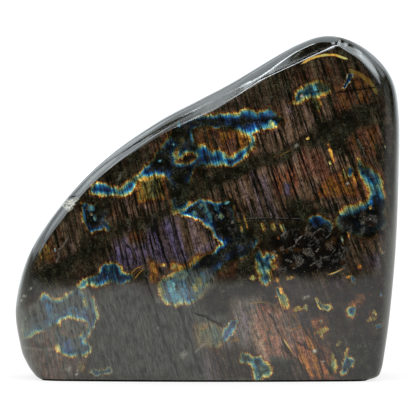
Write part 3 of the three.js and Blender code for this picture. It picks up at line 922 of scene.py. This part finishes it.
def softShare(x, z, edge, soft):
    # 1 inside an outline, falling to 0 outside it over twice the softness
    return step(insideBy(x, z, edge), -soft, soft)


def strongestShare(x, z, patches):
    # patches: outline, strength and softness of each
    share = np.zeros_like(x)
    for edge, strength, soft in patches:
        share = np.maximum(share, strength * softShare(x, z, edge, soft))
    return share


def valuesOf(items, key, which):
    # one number of the item that each place belongs to
    return np.array([item[key] for item in items])[which]


def wandered(x, z, way, seeds):
    # places pushed about a little, so that drawn outlines come out uneven
    push, size, layers = way
    points = np.stack([x, np.zeros_like(x), z], axis=1)
    return [
        place + push * cloudNoise(points, size, seed, layers)
        for place, seed in zip((x, z), seeds)
    ]


def areaFields(x, z, broadX, broadZ):
    order = np.full(x.shape, grain["order"])
    flash = np.full(x.shape, grain["flash"])
    for edge, areaOrder, areaFlash, soft in areas:
        share = softShare(broadX, broadZ, edge, soft)
        order += (areaOrder - order) * share
        flash += (areaFlash - flash) * share
    points = np.stack([x, np.zeros_like(x), z], axis=1)
    return order + 0.03 * cloudNoise(points, 5, 41), flash


def paleField(x, z, warpX, warpZ):
    # specks, scratches and the bruise of the chip
    pale = np.zeros_like(x)
    for cx, cz, radius, strength in specks:
        share = step(np.hypot(x - cx, z - cz), radius * 1.5, radius * 0.3)
        pale = np.maximum(pale, strength * share)
    for points, halfWidth, strength in scratches:
        share = step(pathGap(warpX, warpZ, points), halfWidth * 1.4, halfWidth * 0.4)
        pale = np.maximum(pale, strength * share)
    chipped = step(insideBy(x, z, chip["edge"]), -0.2, 0.4)
    return np.maximum(pale, chip["paleness"] * chipped)


def frontFields(faceX, faceZ):
    # everything that can be seen in the show face, drawn from the lists above
    x = faceX * grain["drawnScale"]
    z = faceZ * grain["drawnScale"]
    broadX, broadZ = wandered(x, z, grain["broadWander"], (31, 37))
    warpX, warpZ = wandered(x, z, grain["fineWander"], (8, 9))
    fields = {}

    gap, basin = nearestOf(warpX, warpZ, basins, basinSize)
    above = nearestOf(warpX, warpZ + grain["openUp"], basins, basinSize)[0]
    for name in ("rim", "bottom", "rimGlow", "deepGlow"):
        fields[name] = valuesOf(basins, name, basin)
    fields["gap"] = np.clip(gap, -6, 8)

    dab, which = nearestOf(x, z, dabs, dabSize)
    fields["dab"] = np.clip(dab, -1, 1)
    fields["dabOrder"] = valuesOf(dabs, 4, which)
    fields["dabGlow"] = valuesOf(dabs, 5, which)

    side, which, near = lineFields(x, z, strands, 1.5)
    fields["strand"] = side / valuesOf(strands, 1, which)
    fields["strandOrder"] = valuesOf(strands, 2, which)
    fields["strandGlow"] = valuesOf(strands, 3, which) * near
    side, which, near = lineFields(warpX, warpZ, cracks, 1.8)
    fields["crack"] = side / valuesOf(cracks, 1, which)
    fields["crackDepth"] = valuesOf(cracks, 2, which) * near

    left = np.ones_like(x)
    for edge, share, soft in shadows:
        left *= 1 - (1 - share) * softShare(broadX, broadZ, edge, soft)
    fields["around"], flash = areaFields(x, z, broadX, broadZ)
    fields["glow"] = flash * left
    fields["pale"] = paleField(x, z, warpX, warpZ)
    fields["rock"] = strongestShare(broadX, broadZ, rocks)
    fields["grey"] = strongestShare(broadX, broadZ, greys)
    fields["glint"] = nearSpots(broadX, broadZ, glints)

    # the basins open upwards, so their lower edges shine
    lit = step(above - gap, -0.9, 1.1)
    pool = np.maximum(nearSpots(broadX, broadZ, pools), fields["bottom"] > 0.19)
    fields["rimGlow"] = fields["rimGlow"] * (0.3 + 0.7 * left) * (0.7 + 0.4 * lit)
    shown = (0.3 + 0.7 * left) * (0.06 + 0.94 * pool) * (0.25 + 0.9 * lit)
    fields["deepGlow"] = fields["deepGlow"] * shown
    return fields


def bodyFields(points):
    # the same kinds of marking through the rest of the stone, from soft noise
    tilt = math.radians(grain["tilt"])
    x, y, z = points.T
    across = x * math.cos(tilt) + z * math.sin(tilt)
    along = z * math.cos(tilt) - x * math.sin(tilt)
    plates = np.stack([across, y, along * 0.7], axis=1)
    basin = cloudNoise(plates, 34, 73, 4)
    broken = step(cloudNoise(points, 30, 113, 3), 0.0, 0.35)
    left = 1 - 0.85 * broken
    bright = np.clip(0.6 + 0.6 * cloudNoise(plates, 25, 101, 3), 0.05, 1.2)
    empty = np.zeros(len(points))
    return {
        "gap": np.clip((basin - 0.14) * 34, -6, 8),
        "rim": 1.6 + 0.6 * cloudNoise(plates, 20, 131, 2),
        "bottom": np.clip(0.18 + 0.15 * cloudNoise(plates, 18, 137, 2), 0.03, 0.3),
        "rimGlow": bright * (0.3 + 0.7 * left),
        "deepGlow": 0.6 * bright * left,
        "around": 0.78 + 0.14 * cloudNoise(plates, 40, 91, 3),
        "glow": bright * left,
        "rock": step(cloudNoise(points, 26, 127, 3), 0.2, 0.42),
        "dab": empty - 1,
        "dabOrder": empty + 0.5,
        "dabGlow": empty,
        "strand": empty + 3,
        "strandOrder": empty + 0.5,
        "strandGlow": empty,
        "crack": empty + 3,
        "crackDepth": empty,
        "pale": empty,
        "grey": 0.6 * step(cloudNoise(points, 30, 181, 2), 0.1, 0.4),
        "glint": step(cloudNoise(plates, 14, 171, 2), 0.05, 0.3),
    }


def stonePoints():
    # all corners of the surface in mm: front grid, back grid and wall rows, with how
    # far each has turned over the rounded edge and its place along the outline
    front, back = stoneShape["front"], stoneShape["back"]
    frontShare, frontRing = gridShares(stoneShape["frontSquares"])
    backShare, backRing = gridShares(stoneShape["backSquares"])
    frontX, frontZ, frontDepth, frontTurn = facePoints(front, frontShare, frontRing)
    backX, backZ, backDepth, backTurn = facePoints(back, backShare, backRing)
    frontGrid = np.stack([frontX, -frontDepth, frontZ], axis=1)
    backGrid = np.stack([backX, backDepth, backZ], axis=1)
    rimShare = frontShare[rimOrder(stoneShape["frontSquares"])]
    ones = np.ones_like(rimShare)
    rimX, rimZ, near, rimTurn = facePoints(front, rimShare, ones)
    far = facePoints(back, rimShare, ones)[2]
    rows = stoneShape["wallRows"]
    wall = [
        np.stack([rimX, -near + (far + near) * row / rows, rimZ], axis=1)
        for row in range(1, rows)
    ]
    turn = np.concatenate([frontTurn] + [rimTurn] * len(wall) + [backTurn])
    share = np.concatenate([frontShare] + [rimShare] * len(wall) + [backShare])
    return frontGrid, backGrid, wall, turn, share


# a low ridge under the top edge, left of the flat facet, in mm
ridge = {
    "x": 13.5,  # where it is highest
    "left": 32,  # how far it reaches to each side of that
    "right": 12,
    "height": 1.0,
    "top": 112,  # height of the top edge at the middle of the stone
    "rise": 0.55,  # how steeply the top edge climbs to the right
    "reach": (26, 6),  # below the top edge it grows between these distances
}


def raiseRidge(grid):
    x, z = grid[:, 0], grid[:, 2]
    width = np.where(x < ridge["x"], ridge["left"], ridge["right"])
    away = abs(x - ridge["x"]) / width
    below = ridge["top"] + ridge["rise"] * x - z
    grid[:, 1] -= ridge["height"] * step(away, 1, 0) * step(below, *ridge["reach"])


# the slow unevenness of a hand-held polish, in mm
waves = {
    "height": 0.035,
    "size": 22,
    "calmBase": 8,  # it starts this far above the base
    "calmSides": 12,  # and this far in from the side edges
}


def polishWaves(grid, side):
    x, z = grid[:, 0], grid[:, 2]
    fromSides = (stoneShape["halfWidth"] - abs(x)) / waves["calmSides"]
    inset = np.clip(np.minimum(z / waves["calmBase"], fromSides), 0, 1)
    grid[:, 1] += side * waves["height"] * cloudNoise(grid, waves["size"], 151, 2) * inset


def sinkChip(grid):
    sunk = step(insideBy(grid[:, 0], grid[:, 2], chip["edge"]), 0, chip["soft"])
    crumbled = 1 + 0.5 * latticeNoise(grid, chip["crumbs"], 7)
    grid[:, 1] += chip["depth"] * sunk * crumbled


# where the rounded edge is less polished and carries a painted sheen, in mm on the stone
edgeWearAndSheen = {
    "slope": (5, 11),  # middle and spread of the dull stretch of the long slope, which also gets painted sheen
    "shoulder": (66, 9),  # and of the right shoulder
    "bandHeight": (60, 90),  # both grow between these heights
    "sides": (60, 68),  # the side edges grow dull and take painted sheen between these distances from the middle
    "sidesTop": (118, 100),  # and lose it between these heights, on the right
    "leftTop": (56, 40),  # and on the left
    "filmAndSheenHeight": (80, 50),  # the milky film and painted sheen are heaviest below
}


def edgeFields(points, turn):
    # dull polish, milky film with a painted sheen, and darkened flash on the rounded edge
    x, z = points[:, 0], points[:, 2]

    def stretch(middle, spread):
        return np.exp(-(((x - middle) / spread) ** 2)) * step(z, *edgeWearAndSheen["bandHeight"])

    onSlope = stretch(*edgeWearAndSheen["slope"])
    onShoulder = stretch(*edgeWearAndSheen["shoulder"])
    onSides = step(abs(x), *edgeWearAndSheen["sides"]) * step(z, *edgeWearAndSheen["sidesTop"])
    onSides = onSides * np.where(x > 0, 1, step(z, *edgeWearAndSheen["leftTop"]))
    dull = np.maximum.reduce([1.3 * onSlope, 0.5 * onShoulder, onSides])
    low = 0.35 + 0.65 * step(z, *edgeWearAndSheen["filmAndSheenHeight"])
    filmAndSheen = step(turn, 0.8 - 0.35 * low, 1.0) * onSides * low
    soon, late = step(turn, 0, 0.35), step(turn, 0.3, 1.0)
    return {
        "dull": step(turn, 0, 0.15 + 0.5 * onSides) * dull,
        "filmAndSheen": filmAndSheen + 0.3 * step(turn, 0, 0.4) * onSlope,
        "shade": soon + (late - soon) * onSides,
    }


def stoneFields(points, turn, share, drawn):
    # the drawn face goes over into the markings of the body towards the edge
    through = bodyFields(points)
    front = len(drawn["gap"])
    blend = np.ones(len(points))
    blend[:front] = step(points[:front, 1], *grain["drawnDepth"])
    fields = {}
    for name, values in through.items():
        whole = np.concatenate([drawn[name], np.zeros(len(points) - front)])
        fields[name] = whole + (values - whole) * blend
    fields["turn"] = turn
    fields["rimWay"] = share * stoneShape["rimLength"]
    fields.update(edgeFields(points, turn))
    return fields


def addStone():
    frontGrid, backGrid, wall, turn, share = stonePoints()
    middle = (frontGrid.min(axis=0) + frontGrid.max(axis=0)) / 2
    depthMiddle = (frontGrid[:, 1].min() + backGrid[:, 1].max()) / 2
    shift = np.array([-middle[0], -depthMiddle, -frontGrid[:, 2].min()])

    drawn = frontFields(frontGrid[:, 0], frontGrid[:, 2])
    print("pattern of the show face laid out")
    polishWaves(frontGrid, 1)
    raiseRidge(frontGrid)
    polishWaves(backGrid, -1)
    sinkChip(frontGrid)
    points = np.concatenate([frontGrid] + wall + [backGrid])
    faces, maps = stoneFaces(len(frontGrid), len(points) - len(backGrid))

    mesh = bpy.data.meshes.new("labradorite")
    mesh.from_pydata(((points + shift) * mm).tolist(), [], faces)
    mesh.polygons.foreach_set("use_smooth", [True] * len(mesh.polygons))
    writeMap(mesh, points, maps)
    for name, values in stoneFields(points, turn, share, drawn).items():
        layer = mesh.attributes.new(name, "FLOAT", "POINT")
        layer.data.foreach_set("value", values.astype(np.float32))
    mesh.update()
    stone = bpy.data.objects.new("labradorite", mesh)
    bpy.context.scene.collection.objects.link(stone)
    print("stone mesh:", len(points), "corners,", len(faces), "faces")
    return stone


def stoneFaces(frontCount, backStart):
    # faces and, for each, its part of the flat map and its place along the wall
    frontSquares = stoneShape["frontSquares"]
    backSquares = stoneShape["backSquares"]
    rows = stoneShape["wallRows"]
    faces, maps = [], []

    def gridFaces(squares, start, flip, part):
        for j in range(squares):
            for i in range(squares):
                a = start + j * (squares + 1) + i
                quad = (a, a + 1, a + squares + 2, a + squares + 1)
                faces.append(quad[::-1] if flip else quad)
                maps.append((part, 0))

    gridFaces(frontSquares, 0, False, "front")
    gridFaces(backSquares, backStart, True, "back")
    rim = rimOrder(frontSquares)
    count = len(rim)
    ringOf = [list(rim)]
    for row in range(rows - 1):
        first = frontCount + row * count
        ringOf.append(list(range(first, first + count)))
    for row in range(rows - 1):
        near, far = ringOf[row], ringOf[row + 1]
        for i in range(count):
            k = (i + 1) % count
            faces.append((near[i], far[i], far[k], near[k]))
            maps.append(("wall", i))
    # the back has half as many corners along its edge
    backRim = backStart + rimOrder(backSquares)
    near = ringOf[-1]
    for i in range(len(backRim)):
        k = (i + 1) % len(backRim)
        a, b, c = near[2 * i], near[2 * i + 1], near[(2 * i + 2) % count]
        faces.append((a, int(backRim[i]), b))
        faces.append((b, int(backRim[i]), int(backRim[k])))
        faces.append((b, int(backRim[k]), c))
        maps.extend([("wall", 2 * i)] * 3)
    return [tuple(int(corner) for corner in face) for face in faces], maps


# flat map for the finish: where each part starts in the square and its scale per mm,
# or for the wall its width and height
finishMap = {
    "front": (0.01, 0.01, 0.0058),
    "back": (0.01, 0.63, 0.00196),
    "wall": (0.01, 0.93, 0.98, 0.06),
}


def writeMap(mesh, points, maps):
    layer = mesh.uv_layers.new(name="OFBake")
    half = stoneShape["halfWidth"] + 0.4
    count = len(rimOrder(stoneShape["frontSquares"]))
    rows = stoneShape["wallRows"]
    front, back, wall = (finishMap[part] for part in ("front", "back", "wall"))
    coordinates = []
    firstWall = (stoneShape["frontSquares"] + 1) ** 2
    lastWall = firstWall + (rows - 1) * count
    rimPlace = {int(v): i for i, v in enumerate(rimOrder(stoneShape["frontSquares"]))}
    backPlace = {
        lastWall + int(v): 2 * i
        for i, v in enumerate(rimOrder(stoneShape["backSquares"]))
    }
    for polygon, (part, column) in zip(mesh.polygons, maps):
        for vertex in polygon.vertices:
            x, z = points[vertex, 0], points[vertex, 2]
            if part == "front":
                uv = (front[0] + (x + half) * front[2], front[1] + z * front[2])
            elif part == "back":
                uv = (back[0] + (half - x) * back[2], back[1] + z * back[2])
            else:
                if vertex in rimPlace:
                    place, level = rimPlace[vertex], 0
                elif vertex in backPlace:
                    place, level = backPlace[vertex], rows
                else:
                    place = (vertex - firstWall) % count
                    level = (vertex - firstWall) // count + 1
                if place < column:
                    place += count  # the strip's last faces close the loop
                uv = (
                    wall[0] + wall[2] * place / count,
                    wall[1] + wall[3] * level / rows,
                )
            coordinates.extend(uv)
    layer.data.foreach_set("uv", np.array(coordinates, np.float32))


# The finish.
polish = {
    "roughness": 0.045,
    "brokenRoughness": 0.35,  # added on broken crystal and pale marks
    "dullRoughness": 0.2,  # added where the edge is less polished
    "baseShadeRoughness": 0.9,
    "baseShadeHeight": (0.85, 0.65),  # mm, the ground edge of the base is dull, and below this height it is darkened with a painted contact shadow
    "relief": 0.03,  # mm
    "ior": 1.56,
    "reflection": 0.52,
    "darkStone": (0.0028, 0.0028, 0.0015, 1),
    "greyStone": (0.07, 0.074, 0.04, 1),
    "milkyStone": (0.066, 0.072, 0.06, 1),
    "filmAndSheenColor": (0.13, 0.14, 0.12, 1),  # milky film where the edge is less polished, also standing in for a painted sheen on it
    "filmAndSheenShare": 0.6,
    "crackColor": (0.002, 0.002, 0.002, 1),
    "stainColor": (0.045, 0.022, 0.006, 1),
    "scribbleColor": (0.24, 0.215, 0.15, 1),
    "sparkColor": (0.3, 0.3, 0.25, 1),
    "paleColor": (0.42, 0.4, 0.32, 1),
    # colour of the painted contact shadow along the base
    "baseShadeColor": (0.003, 0.003, 0.003, 1),
    # flash colours by the order of the plates, from the deep of a basin outwards
    "flashScale": [
        (0.00, (0.004, 0.005, 0.006)),
        (0.08, (0.003, 0.008, 0.03)),
        (0.16, (0.004, 0.03, 0.13)),
        (0.23, (0.01, 0.09, 0.32)),
        (0.29, (0.02, 0.2, 0.42)),
        (0.34, (0.09, 0.38, 0.45)),
        (0.385, (0.3, 0.47, 0.26)),
        (0.43, (0.52, 0.47, 0.12)),
        (0.48, (0.6, 0.36, 0.06)),
        (0.53, (0.46, 0.18, 0.025)),
        (0.585, (0.26, 0.085, 0.02)),
        (0.63, (0.165, 0.058, 0.028)),
        (0.68, (0.135, 0.055, 0.038)),
        (0.73, (0.105, 0.06, 0.033)),
        (0.80, (0.105, 0.066, 0.044)),
        (0.86, (0.1, 0.066, 0.066)),
        (0.92, (0.085, 0.06, 0.09)),
        (1.00, (0.06, 0.05, 0.11)),
    ],
}


class Wiring:
    # short helpers to place nodes in one tree
    def __init__(self, tree):
        self.tree = tree

    def node(self, kind, **settings):
        made = self.tree.nodes.new(kind)
        for name, value in settings.items():
            setattr(made, name, value)
        return made

    def put(self, socket, value):
        if isinstance(value, bpy.types.NodeSocket):
            self.tree.links.new(value, socket)
        else:
            socket.default_value = value

    def math(self, operation, *values):
        made = self.node("ShaderNodeMath", operation=operation)
        for socket, value in zip(made.inputs, values):
            self.put(socket, value)
        return made.outputs[0]

    def times(self, value, *others):
        for other in others:
            value = self.math("MULTIPLY", value, other)
        return value

    def plus(self, a, b):
        return self.math("ADD", a, b)

    def minus(self, a, b):
        return self.math("SUBTRACT", a, b)

    def timesPlus(self, a, b, c):
        return self.math("MULTIPLY_ADD", a, b, c)

    def larger(self, a, b):
        return self.math("MAXIMUM", a, b)

    def absolute(self, value):
        return self.math("ABSOLUTE", value)

    def vector(self, operation, *values):
        made = self.node("ShaderNodeVectorMath", operation=operation)
        for socket, value in zip(made.inputs, values):
            self.put(socket, value)
        return made.outputs["Value" if operation == "DOT_PRODUCT" else "Vector"]

    def stretch(self, vector, amount):
        made = self.node("ShaderNodeVectorMath", operation="SCALE")
        self.put(made.inputs[0], vector)
        self.put(made.inputs["Scale"], amount)
        return made.outputs["Vector"]

    def join(self, x, y, z):
        made = self.node("ShaderNodeCombineXYZ")
        for socket, value in zip(made.inputs, (x, y, z)):
            self.put(socket, value)
        return made.outputs[0]

    def noiseNode(self, place, scale, detail, roughness):
        made = self.node("ShaderNodeTexNoise", noise_dimensions="3D")
        self.put(made.inputs["Vector"], place)
        made.inputs["Scale"].default_value = scale
        made.inputs["Detail"].default_value = detail
        made.inputs["Roughness"].default_value = roughness
        return made

    def noise(self, place, scale, detail=2.0, roughness=0.5):
        return self.noiseNode(place, scale, detail, roughness).outputs[0]

    def swirl(self, place, scale, size):
        # a soft push in all directions, up to about `size`
        color = self.noiseNode(place, scale, 2.0, 0.5).outputs["Color"]
        return self.stretch(self.vector("SUBTRACT", color, (0.5, 0.5, 0.5)), size * 2)

    def span(self, value, fromLow, fromHigh, toLow=0.0, toHigh=1.0, smooth=False):
        made = self.node("ShaderNodeMapRange", clamp=True)
        if smooth:
            made.interpolation_type = "SMOOTHSTEP"
        self.put(made.inputs["Value"], value)
        made.inputs["From Min"].default_value = fromLow
        made.inputs["From Max"].default_value = fromHigh
        made.inputs["To Min"].default_value = toLow
        made.inputs["To Max"].default_value = toHigh
        return made.outputs[0]

    def blend(self, share, a, b):
        # two colours
        made = self.node("ShaderNodeMix", data_type="RGBA", clamp_factor=True)
        self.put(made.inputs[0], share)
        self.put(made.inputs[6], a)
        self.put(made.inputs[7], b)
        return made.outputs[2]

    def mix(self, share, a, b):
        # two numbers
        made = self.node("ShaderNodeMix", data_type="FLOAT", clamp_factor=True)
        self.put(made.inputs[0], share)
        self.put(made.inputs[2], a)
        self.put(made.inputs[3], b)
        return made.outputs[0]

    def colorScale(self, stops, value):
        made = self.node("ShaderNodeValToRGB")
        ramp = made.color_ramp
        while len(ramp.elements) > 1:
            ramp.elements.remove(ramp.elements[-1])
        ramp.elements[0].position = stops[0][0]
        ramp.elements[0].color = (*stops[0][1], 1)
        for place, color in stops[1:]:
            ramp.elements.new(place).color = (*color, 1)
        self.put(made.inputs[0], value)
        return made.outputs[0]


class StoneWiring(Wiring):
    # places in mm, the way the plates run and the fields that the mesh carries
    def __init__(self, tree, fieldNames):
        super().__init__(tree)
        self.place = self.stretch(self.node("ShaderNodeTexCoord").outputs["Object"], 1 / mm)
        parts = self.node("ShaderNodeSeparateXYZ")
        self.put(parts.inputs[0], self.place)
        x, self.y, self.z = parts.outputs
        tilt = math.radians(grain["tilt"])
        across = self.vector("DOT_PRODUCT", self.place, (math.cos(tilt), 0.2, math.sin(tilt)))
        self.across = self.plus(across, self.times(x, self.z, grain["fan"]))
        self.along = self.vector("DOT_PRODUCT", self.place, (-math.sin(tilt), 0, math.cos(tilt)))
        self.has = {}
        for name in fieldNames:
            self.has[name] = self.node("ShaderNodeAttribute", attribute_name=name).outputs["Fac"]

    def plates(self, fine, length, layer=0.0, detail=3.0, roughness=0.6):
        # noise drawn out along the twin plates of the crystal
        spot = self.join(
            self.times(self.across, fine),
            self.times(self.along, length),
            self.timesPlus(self.y, 0.3, layer),
        )
        return self.noise(spot, 1.0, detail, roughness)

    def wander(self, value, size):
        return self.times(self.minus(value, 0.5), size)


def basinFlash(w):
    # order and glow of the flash across the basins, whose edges are combed along the plates
    has = w.has
    comb = w.wander(w.plates(0.9, 0.05, 20), 2.0)
    comb = w.plus(comb, w.wander(w.plates(2.3, 0.12, 31, 2.0), 0.9))
    ragged = w.noise(w.place, 0.5, 5.0, 0.66)
    gap = w.plus(has["gap"], w.plus(comb, w.wander(ragged, 2.6)))
    rim = w.times(has["rim"], w.span(w.noise(w.place, 0.16), 0.35, 0.65, 0.55, 1.7))
    depth = w.math("DIVIDE", gap, rim)
    bottom = w.plus(has["bottom"], w.wander(w.noise(w.place, 0.2, 4.0, 0.6), 0.4))
    inside = w.mix(w.span(depth, -0.3, 1.0), 0.5, w.larger(bottom, 0.0))
    outside = w.span(w.math("DIVIDE", gap, has["rim"]), 0.05, -0.85)
    order = w.mix(outside, inside, has["around"])

    rimPatch = w.span(w.noise(w.place, 0.14, 3.0), 0.45, 0.62, 0.0, 0.4)
    rimPatch = w.mix(has["glint"], rimPatch, 1.15)
    deepPatch = w.span(w.noise(w.place, 0.3, 4.0, 0.65), 0.4, 0.66, 0.25, 1.4)
    rimGlow = w.times(has["rimGlow"], rimPatch)
    deepGlow = w.times(has["deepGlow"], deepPatch)
    glow = w.mix(w.span(depth, 0.25, 1.5), rimGlow, deepGlow)
    glow = w.mix(outside, glow, has["glow"])

    # small dabs and threads of colour over them
    dab = w.plus(has["dab"], w.wander(ragged, 1.4))
    dab = w.span(w.plus(dab, w.times(comb, 0.25)), -0.2, 0.35)
    order = w.mix(dab, order, has["dabOrder"])
    glow = w.mix(dab, glow, has["dabGlow"])
    thread = w.span(w.absolute(has["strand"]), 1.2, 0.5, smooth=True)
    thread = w.times(thread, w.span(has["strandGlow"], 0.0, 0.1))
    order = w.mix(thread, order, has["strandOrder"])
    glow = w.mix(thread, glow, has["strandGlow"])
    edgeShare = w.times(has["glint"], w.span(depth, 1.2, 0.4))
    placed = {"outside": outside, "dab": dab, "thread": thread, "edgeShare": edgeShare}
    return order, glow, placed


def plateFlash(w, look, order, glow, placed):
    # the plates themselves: fine dark lines and changes of colour across them
    outside, dab, thread = placed["outside"], placed["dab"], placed["thread"]
    wide = w.plates(0.42, 0.035, 3, 2.0)
    calm = w.timesPlus(w.times(outside, w.minus(1, dab)), 0.22, 0.2)
    order = w.timesPlus(w.minus(wide, 0.5), calm, order)
    order = w.plus(order, w.wander(w.noise(w.place, 1.3, 3.0, 0.6), 0.14))
    color = w.colorScale(look["flashScale"], order)

    fine = w.span(w.plates(0.8, 0.045, 0.0, 4.0, 0.68), 0.42, 0.53, 0.0, 1.35)
    softer = w.timesPlus(fine, 0.5, 0.5)
    fine = w.mix(w.larger(w.minus(1, outside), thread), fine, softer)
    fine = w.mix(w.span(w.z, 52, 44, 0.0, 0.65), fine, 0.8)  # more even lower down
    broad = w.span(wide, 0.35, 0.65, 0.45, 1.25)
    split = w.absolute(w.minus(w.plates(0.24, 0.016, 11, 2.0), 0.5))
    split = w.span(split, 0.006, 0.022, 0.15, 1.0, smooth=True)
    stroke = w.absolute(w.minus(w.plates(0.5, 0.03, 17, 2.0), 0.5))
    stroke = w.span(stroke, 0.003, 0.014, 0.2, 1.0, smooth=True)
    mottle = w.span(w.noise(w.place, 0.5, 5.0, 0.65), 0.34, 0.66, 0.35, 1.5)
    dust = w.span(w.noise(w.place, 2.0, 3.0, 0.65), 0.36, 0.64, 0.55, 1.4)
    through = w.times(glow, fine, broad, split, stroke, mottle, dust)
    through = w.mix(w.times(thread, 0.8), through, glow)

    # broken crystal and the turned edge put it out, except at the dabs and bright rims
    kept = w.timesPlus(w.larger(dab, placed["edgeShare"]), -0.8, 1.0)
    broken = w.times(w.has["rock"], kept)
    through = w.times(through, w.span(broken, 0.0, 1.0, 1.0, 0.1))
    through = w.times(through, w.span(w.has["shade"], 0.0, 1.0, 1.0, 0.12))
    return color, through


def darkBody(w, look, crack, outside):
    # the dark body of the stone, cloudy and combed, with milky parts
    cloud = w.span(w.noise(w.place, 0.25, 4.0, 0.6), 0.42, 0.72, 0.05, 0.8)
    thin = w.span(w.plates(0.9, 0.05, 40.0, 4.0, 0.7), 0.38, 0.64, 0.1, 1.0)
    speckle = w.span(w.noise(w.place, 1.7, 4.0, 0.7), 0.42, 0.7, 0.0, 1.9)
    cloud = w.times(cloud, w.timesPlus(thin, 0.65, 0.3), speckle)
    body = w.blend(cloud, look["darkStone"], look["greyStone"])
    bright = w.span(w.has["glow"], 0.2, 0.9, 0.0, 0.75)
    body = w.blend(w.times(bright, outside), body, look["darkStone"])
    streaks = w.span(w.plates(1.3, 0.22, 60.0, 4.0, 0.7), 0.38, 0.62, 0.0, 0.85)
    body = w.blend(w.times(w.has["grey"], streaks), body, look["milkyStone"])
    return w.blend(crack, body, look["crackColor"])


def brokenCrystal(w, look, body):
    # rough patches: pale scribbled threads and brown stains on black, and glinting grit
    rock = w.has["rock"]
    bent = w.vector("ADD", w.place, w.swirl(w.place, 0.5, 1.6))
    threads = w.absolute(w.minus(w.noise(bent, 1.9, 3.0, 0.6), 0.5))
    threads = w.span(threads, 0.03, 0.004)
    patchy = w.span(w.noise(w.place, 0.28, 3.0, 0.6), 0.52, 0.64)
    scribble = w.times(threads, patchy, rock)
    stain = w.times(w.span(w.noise(w.place, 0.22, 3.0), 0.55, 0.68), rock)
    body = w.blend(w.times(rock, 0.9), body, look["crackColor"])
    body = w.blend(w.times(stain, 0.55), body, look["stainColor"])
    body = w.blend(w.times(scribble, 0.6), body, look["scribbleColor"])

    grit = w.node("ShaderNodeTexVoronoi", feature="F1")
    w.put(grit.inputs["Vector"], w.place)
    grit.inputs["Scale"].default_value = 1.2
    pick = w.node("ShaderNodeSeparateColor")
    w.put(pick.inputs[0], grit.outputs["Color"])
    isGrit = w.span(pick.outputs[0], 0.88, 0.92)
    spark = w.times(w.span(grit.outputs["Distance"], 0.24, 0.1), isGrit)
    sparkShare = w.times(w.span(w.noise(w.place, 0.11, 3.0), 0.42, 0.62), 0.55)
    sparkShare = w.larger(sparkShare, w.times(rock, 0.45))
    return w.blend(w.times(spark, sparkShare), body, look["sparkColor"]), scribble


def stoneMaterial(look, fieldNames):
    material = bpy.data.materials.new("polishedLabradorite")
    material.use_nodes = True
    material.node_tree.nodes.clear()
    w = StoneWiring(material.node_tree, fieldNames)
    has = w.has
    crack = w.plus(w.absolute(has["crack"]), w.wander(w.noise(w.place, 0.8, 3.0), 1.5))
    crack = w.times(w.span(crack, 1.6, 0.5, smooth=True), has["crackDepth"])
    paleShare = w.times(has["pale"], w.span(w.noise(w.place, 1.2, 3.0), 0.38, 0.55))
    # painted contact shadow: the bottom band of the base is made black and loses its shine
    paintedBaseShade = w.span(w.z, *look["baseShadeHeight"])

    order, glow, placed = basinFlash(w)
    color, through = plateFlash(w, look, order, glow, placed)
    through = w.times(through, w.minus(1.0, crack))
    body = darkBody(w, look, crack, placed["outside"])
    body, scribble = brokenCrystal(w, look, body)
    # milky film and painted sheen: the rounded edge is lightened towards grey
    body = w.blend(w.times(has["filmAndSheen"], look["filmAndSheenShare"]), body, look["filmAndSheenColor"])
    base = w.vector("ADD", w.stretch(color, through), body)
    base = w.blend(paleShare, base, look["paleColor"])
    base = w.blend(paintedBaseShade, base, look["baseShadeColor"])

    shader = w.node("ShaderNodeBsdfPrincipled")
    w.put(shader.inputs["Base Color"], base)
    w.put(shader.inputs["Metallic"], paintedBaseShade)  # takes the shine off the ground edge, so that its painted contact shadow stays black
    shader.inputs["IOR"].default_value = look["ior"]
    shader.inputs["Specular IOR Level"].default_value = look["reflection"]
    smooth = look["roughness"]
    rough = w.span(w.noise(w.place, 0.12, 3.0), 0.3, 0.7, smooth * 0.8, smooth * 1.3)
    for share, more in (
        (scribble, look["brokenRoughness"]),
        (paleShare, look["brokenRoughness"]),
        (has["dull"], look["dullRoughness"]),
        (paintedBaseShade, look["baseShadeRoughness"]),
    ):
        rough = w.timesPlus(share, more, rough)
    w.put(shader.inputs["Roughness"], rough)

    # fine relief: polishing streaks along the edge, threads and cracks
    streakSpot = w.join(w.times(has["turn"], 7), w.times(has["rimWay"], 0.05), 0.0)
    streak = w.times(w.noise(streakSpot, 1.0, 3.0, 0.7), w.span(has["turn"], 0.0, 0.2))
    height = w.times(streak, 0.8)
    height = w.timesPlus(scribble, 0.5, height)
    height = w.timesPlus(crack, -0.6, height)
    bump = w.node("ShaderNodeBump")
    bump.inputs["Strength"].default_value = 1.0
    bump.inputs["Distance"].default_value = look["relief"] * mm
    w.put(bump.inputs["Height"], height)
    w.put(shader.inputs["Normal"], bump.outputs[0])
    output = w.node("ShaderNodeOutputMaterial")
    w.put(output.inputs["Surface"], shader.outputs[0])
    return material


stone = addStone()
floatFields = [layer.name for layer in stone.data.attributes if layer.data_type == "FLOAT"]
stone.data.materials.append(stoneMaterial(polish, floatFields))
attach(stone, "root")
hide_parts("labradorite_stone")
print("stone finished")
